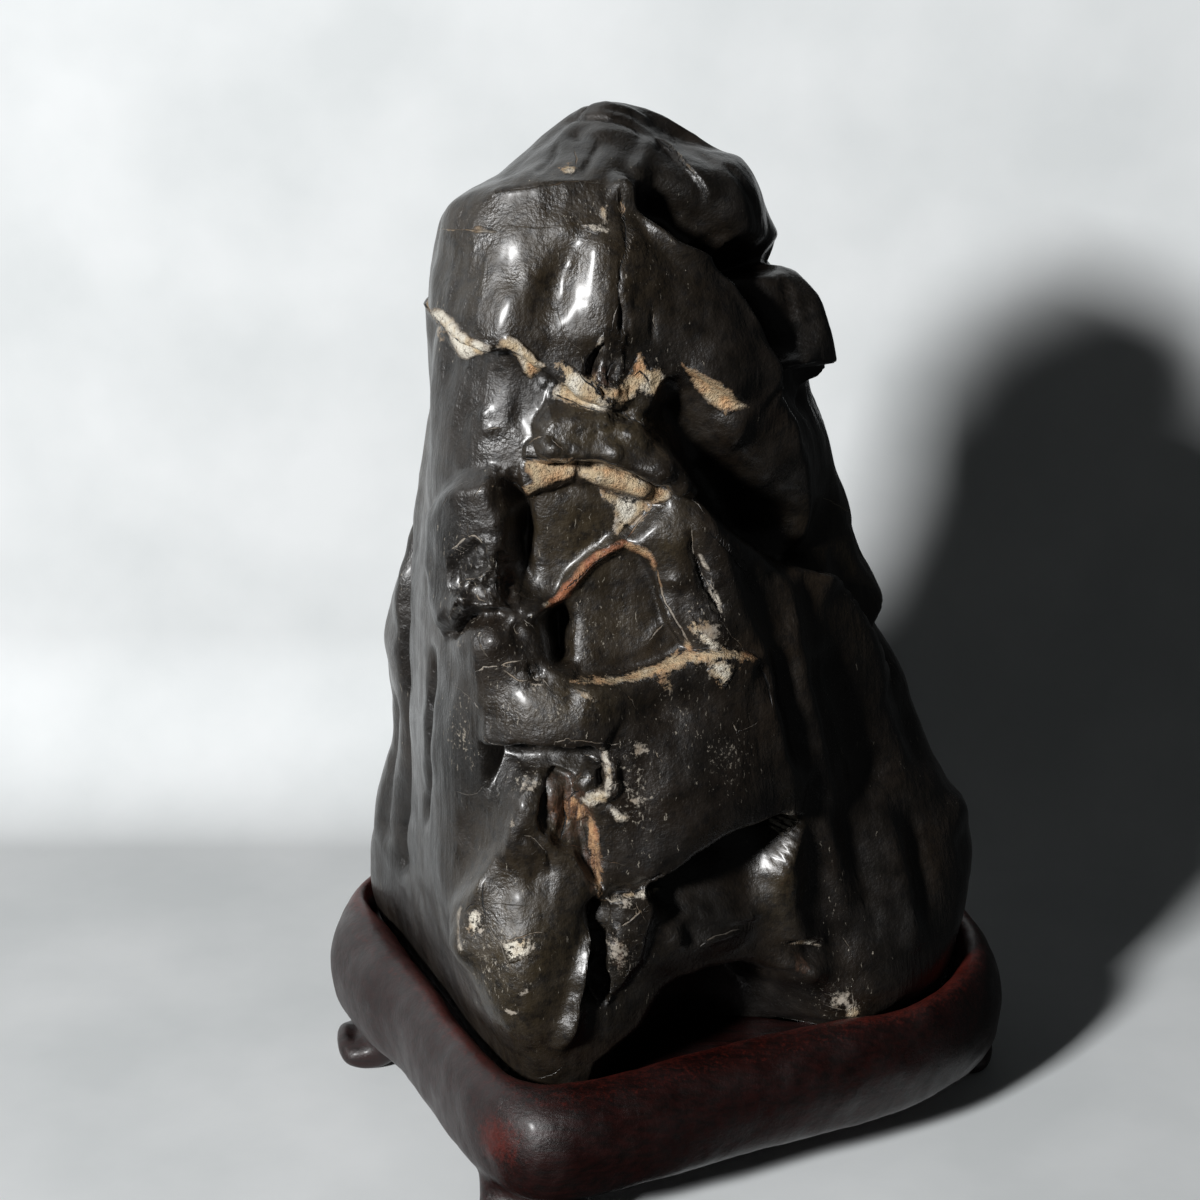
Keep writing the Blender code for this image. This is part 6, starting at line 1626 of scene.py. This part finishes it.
@dataclass
class Stand:
    """The stand: a bulging rim carved round the recess, and four feet that curl out at the toe."""

    finish: LacqueredRosewood
    outline: tuple[Point, ...] = (
        (-30, -77), (-8, -71), (20, -57), (45, -45), (66, -31), (80, -15), (85, 3), (80, 24),
        (71, 44), (55, 61), (32, 73), (4, 77), (-26, 76), (-52, 69), (-71, 54), (-81, 37),
        (-85.5, 19), (-79, 0), (-67, -18), (-57, -39), (-46, -62),
    )
    clearance: float = 1.6  # between the stone and the rim, mm
    # The section from the middle of the recess out, over the rim and back underneath: the share of the way
    # from the recess wall to the widest place, or below 0 the way from the middle, and the height, mm
    section: tuple[Point, ...] = (
        (-0.5, RECESS_FLOOR), (-0.02, RECESS_FLOOR), (0.0, 34.0), (0.14, 36.8), (0.38, STAND_HEIGHT),
        (0.66, 36.6), (0.88, 32.6), (1.0, 26.0), (0.98, 19.5), (0.9, 14.8), (0.7, 12.5), (0.3, 13.5),
        (-0.4, 15.0),
    )
    feet: tuple[Foot, ...] = (
        Foot("front", (-33.0, -68.0), -20.0, 14.0),
        Foot("right", (76.0, 10.0), 90.0, 11.0),
        Foot("back", (34.0, 65.0), 156.0, 13.0),
        Foot("left", (-75.0, 13.0), -86.0, 11.0),
    )
    # A foot's centre line from inside the apron to the curled toe: out from the apron, up from the floor,
    # then its width as a share of its width at the apron, and half its depth there, mm
    foot_path: tuple[tuple[float, float, float, float], ...] = (
        (-7.0, 22.0, 1.0, 7.0), (-6.5, 15.0, 1.0, 6.5), (-5.5, 10.0, 0.96, 6.0),
        (-3.5, 5.6, 0.92, 5.4), (-0.5, 3.2, 0.88, 5.0), (3.0, 2.8, 0.85, 4.6),
        (6.0, 4.4, 0.78, 3.8), (7.4, 7.6, 0.69, 2.4),
    )
    foot_square: float = 0.8  # how square a foot's section is: 1 is round, and less is squarer
    rim_span: float = 60.0  # about how far the section runs from the recess wall to its widest place, mm
    carving: tuple[tuple[float, float], ...] = ((0.6, 25.0), (0.15, 6.0))  # unevenness: height and wave, mm
    worn_corner: tuple[float, float, float] = (-40.0, -70.0, 27.0)  # where hands have worn the lacquer, mm
    worn_reach: tuple[float, float, float] = (14.0, 9.0, 9.0)
    columns: int = 288
    voxel: float = 1.0  # the grain of the joined mesh, mm

    def rim(self) -> bmesh.types.BMesh:
        """Turns the section round the recess."""
        path = np.array([(-1.0, RECESS_FLOOR), *self.section, (-1.0, self.section[-1][1])])
        span = (self.rim_span, 1.0)
        fine = open_curve(path[2:-2] * span, 2.0) / span
        path = np.concatenate([path[:2], fine, path[-2:]])
        skin = Skin(self.columns, len(path) - 1)
        lowest = np.array(LEVEL_SECTIONS[0][1], float)
        stone_edge, middle = round_curve(lowest, skin.turns), lowest.mean(axis=0)
        outward = stone_edge - middle
        outward /= np.linalg.norm(outward, axis=1, keepdims=True)
        wall = stone_edge + self.clearance * outward
        outline = round_curve(np.array(self.outline, float), np.linspace(0.0, 1.0, 1200))
        widest = self.along_bearings(outline, middle, outward)
        row = np.round((1.0 - skin.rises) * (len(path) - 1)).astype(int)
        share = path[row, 0][:, None]
        inner = middle + (wall - middle) * (1.0 + np.minimum(share, 0.0))
        plan = np.where(share < 0, inner, wall + (widest - wall) * share)
        skin.place(np.column_stack([plan, path[row, 1]]) * MM)
        return skin.bm

    def along_bearings(self, outline: Array, middle: Array, bearings: Array) -> Array:
        """Gives where the ray from the middle along each bearing meets the closed outline."""
        found = np.zeros_like(bearings)
        edges = np.diff(outline, axis=0)
        offset = middle - outline[:-1]
        for index, bearing in enumerate(bearings):
            turn = edges[:, 0] * bearing[1] - edges[:, 1] * bearing[0]
            part = (offset[:, 0] * bearing[1] - offset[:, 1] * bearing[0]) / turn
            reach = ((outline[:-1] + part[:, None] * edges - middle) * bearing).sum(axis=1)
            meets = (part >= 0) & (part <= 1) & (reach > 0)
            found[index] = middle + bearing * reach[meets].max()
        return found

    def foot(self, foot: Foot) -> bmesh.types.BMesh:
        """Shapes one foot: it leaves the apron, tucks in, then curls out at the toe and up."""
        skin = Skin(48, 48)
        path = np.array(self.foot_path)
        fine = open_curve(path, 0.6)
        steps = np.linspace(0.0, 1.0, len(fine))
        tangents = np.gradient(fine[:, :2], axis=0)
        tangents /= np.linalg.norm(tangents, axis=1, keepdims=True)
        out, up, share, depth = (np.interp(skin.rises, steps, fine[:, column]) for column in range(4))
        lean_out, lean_up = (np.interp(skin.rises, steps, tangents[:, column]) for column in range(2))
        open_share = np.minimum(1.0, np.sin(skin.rises * math.pi) * 2.2) ** 0.5
        angle = skin.turns * 2 * math.pi
        swing, reach = (
            np.sign(part) * np.abs(part) ** self.foot_square for part in (np.sin(angle), np.cos(angle))
        )
        side = foot.half_width * share * open_share * swing
        across = depth * open_share * reach
        out = out + lean_up * across
        up = np.maximum(up - lean_out * across, 0.0)
        turn = math.radians(foot.facing)
        outward = np.array((math.sin(turn), -math.cos(turn)))
        sideways = np.array((math.cos(turn), math.sin(turn)))
        plan = np.array(foot.place) + out[:, None] * outward + side[:, None] * sideways
        skin.place(np.column_stack([plan, up]) * MM)
        bmesh.ops.recalc_face_normals(skin.bm, faces=skin.bm.faces)
        return skin.bm

    def joined(self) -> bpy.types.Mesh:
        """Joins the rim and the feet into one skin, with soft creases where they meet."""
        whole = bmesh.new()
        for part in (self.rim(), *(self.foot(foot) for foot in self.feet)):
            loose = bpy.data.meshes.new("loose")
            part.to_mesh(loose)
            part.free()
            whole.from_mesh(loose)
            bpy.data.meshes.remove(loose)
        rough = finished_piece(whole, "stand_blank", self.finish.material())
        remesh = rough.modifiers.new("join", "REMESH")
        remesh.mode = "VOXEL"
        remesh.voxel_size = self.voxel * MM
        soften = rough.modifiers.new("soften", "SMOOTH")
        soften.factor = 0.5
        soften.iterations = 5
        bpy.context.view_layer.update()
        graph = bpy.context.evaluated_depsgraph_get()
        mesh = bpy.data.meshes.new_from_object(rough.evaluated_get(graph))
        bpy.data.objects.remove(rough)
        return mesh

    def build(self) -> bpy.types.Object:
        """Builds the stand."""
        mesh = self.joined()
        bm = bmesh.new()
        bm.from_mesh(mesh)
        bpy.data.meshes.remove(mesh)
        bm.normal_update()
        points = np.array([vertex.co[:] for vertex in bm.verts]) / MM
        normals = np.array([vertex.normal[:] for vertex in bm.verts])
        uneven = sum(height * NATURE.layers(points / wave, 2) for height, wave in self.carving)
        uneven *= smooth_step((points[:, 2] - 2.0) / 4.0)
        points += normals * uneven[:, None]
        points[:, 2] = np.maximum(points[:, 2], 0.0)
        for vertex, point in zip(bm.verts, (points * MM).tolist()):
            vertex.co = point
        stand = finished_piece(bm, "stand_surface", self.finish.material())
        edge = round_curve(np.array(LEVEL_SECTIONS[0][1], float), np.linspace(0.0, 1.0, 200))
        gap = np.min(np.linalg.norm(points[:, None, :2] - edge[None], axis=2), axis=1)
        inner = np.exp(-((gap / 9.0) ** 2)) * smooth_step((points[:, 2] - 31.0) / 4.0)
        upper = smooth_step((points[:, 2] - 32.0) / 5.0) * smooth_step((normals[:, 2] - 0.2) / 0.6)
        corner = np.exp(-(((points - self.worn_corner) / self.worn_reach) ** 2).sum(axis=1))
        worn = np.maximum.reduce([0.75 * inner, 0.35 * upper, 0.6 * corner])
        paint(stand, "wear", np.stack([worn, inner, upper], axis=1))
        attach(stand, BODY)
        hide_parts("stand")
        return stand


@dataclass
class Studio:
    """The plain pale sweep close behind the stone, one soft key light from the front left, and the camera."""

    finish: LimePlaster
    wall: float = 178.0  # how far behind the origin the sweep stands upright, mm
    bend: float = 50.0  # the radius of its bend, mm
    apron: float = -60.0  # where the sheet in front, which the polish doesn't mirror, meets the sweep, mm
    shade: float = 95.0  # where the sweep's right part starts, which the polish doesn't mirror either, mm
    key_turn: float = 39.0  # how far round to the left of the camera the key light stands, degrees
    key_rise: float = 24.0  # its height above the horizon, degrees
    key_distance: float = 1.9
    key_size: float = 0.25
    key_power: float = 50.0
    fill: float = 0.035
    eye: tuple[float, float, float] = (-0.016, -0.6166, 0.3809)
    target: tuple[float, float, float] = (-0.016, 0.0, 0.1318)
    lens: float = 84.0
    pale: str = "#cfd3d4"
    far: float = 6.0

    def sheet(self, name: str, profile: list[Point], left: float, right: float) -> bpy.types.Object:
        """Builds one wide sheet of the stage.

        Args:
            name: The sheet's name.
            profile: The corners of its side view, back and up, m, from the front to the back.
            left: Where its left edge lies, m.
            right: Where its right edge lies, m.

        Returns:
            The sheet, which doesn't light the stone.
        """
        bm = bmesh.new()
        last, *others = profile
        start = [bm.verts.new((side, *last)) for side in (left, right)]
        edge = [bm.edges.new(start)]
        for y, z in others:
            made = bmesh.ops.extrude_edge_only(bm, edges=edge)["geom"]
            fresh = [item for item in made if isinstance(item, bmesh.types.BMVert)]
            bmesh.ops.translate(bm, verts=fresh, vec=(0.0, y - last[0], z - last[1]))
            edge = [item for item in made if isinstance(item, bmesh.types.BMEdge)]
            edge = [item for item in edge if all(vertex in fresh for vertex in item.verts)]
            last = (y, z)
        bm.normal_update()
        if sum(face.normal.z for face in bm.faces) < 0:
            bmesh.ops.reverse_faces(bm, faces=bm.faces)
        sheet = finished_piece(bm, name, self.finish.material())
        sheet.visible_diffuse = False
        return sheet

    def sweep(self) -> None:
        """Builds the floor, its bend and the wall."""
        low, front, steps = (self.wall - self.bend) * MM, self.apron * MM, 24
        profile = [(front, 0.0), (low, 0.0)]
        for step in range(1, steps + 1):
            angle = math.pi / 2 * step / steps
            profile.append((low + self.bend * MM * math.sin(angle), self.bend * MM * (1 - math.cos(angle))))
        profile.append((self.wall * MM, self.far / 2))
        side = self.shade * MM
        self.sheet("sweep", profile, -self.far, side)
        self.sheet("shaded sweep", profile, side, self.far).visible_glossy = False
        self.sheet("floor", [(-self.far, 0.0), (front, 0.0)], -self.far, self.far).visible_glossy = False

    def key_light(self) -> None:
        """Adds the soft key light."""
        light = bpy.data.lights.new("key", "AREA")
        light.shape = "SQUARE"
        light.size = self.key_size
        light.energy = self.key_power
        turn, rise = math.radians(self.key_turn), math.radians(self.key_rise)
        bearing = Vector((-math.sin(turn) * math.cos(rise), -math.cos(turn) * math.cos(rise), math.sin(rise)))
        lamp = bpy.data.objects.new("key", light)
        lamp.location = Vector(self.target) + bearing * self.key_distance
        lamp.rotation_euler = (-bearing).to_track_quat("-Z", "Y").to_euler()
        bpy.context.scene.collection.objects.link(lamp)

    def surroundings(self) -> None:
        """Makes the room dim for the light and pale where the camera looks past the sweep."""
        world = bpy.data.worlds.new("room")
        world.use_nodes = True
        tree = world.node_tree
        dim = add_node(tree, "Background", {0: linear(self.pale), 1: self.fill})
        shown = add_node(tree, "Background", {0: linear(self.pale), 1: 1.0})
        seen = add_node(tree, "LightPath", {})
        both = add_node(tree, "MixShader", {0: seen, 1: dim, 2: shown})
        tree.links.new(both, tree.nodes["World Output"].inputs["Surface"])
        bpy.context.scene.world = world

    def camera(self) -> None:
        """Adds the camera."""
        data = bpy.data.cameras.new("camera")
        data.lens = self.lens
        data.sensor_width = 36.0
        data.clip_start = 0.01
        camera = bpy.data.objects.new("camera", data)
        camera.location = self.eye
        sight = Vector(self.target) - Vector(self.eye)
        camera.rotation_euler = sight.to_track_quat("-Z", "Y").to_euler()
        bpy.context.scene.collection.objects.link(camera)
        bpy.context.scene.camera = camera

    def build(self) -> None:
        """Sets up the whole studio."""
        self.sweep()
        self.key_light()
        self.surroundings()
        self.camera()
        bpy.context.scene.view_settings.view_transform = "Standard"


def main() -> None:
    """Builds the stone, its stand and the studio."""
    logging.basicConfig(level=logging.INFO, format="%(name)s: %(message)s")
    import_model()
    for part in (Stone(PolishedLimestone()), Stand(LacqueredRosewood())):
        piece = part.build()
        LOG.info("%s: %d faces", piece.name, len(piece.data.polygons))
    Studio(LimePlaster()).build()


if __name__ == "__main__":
    main()
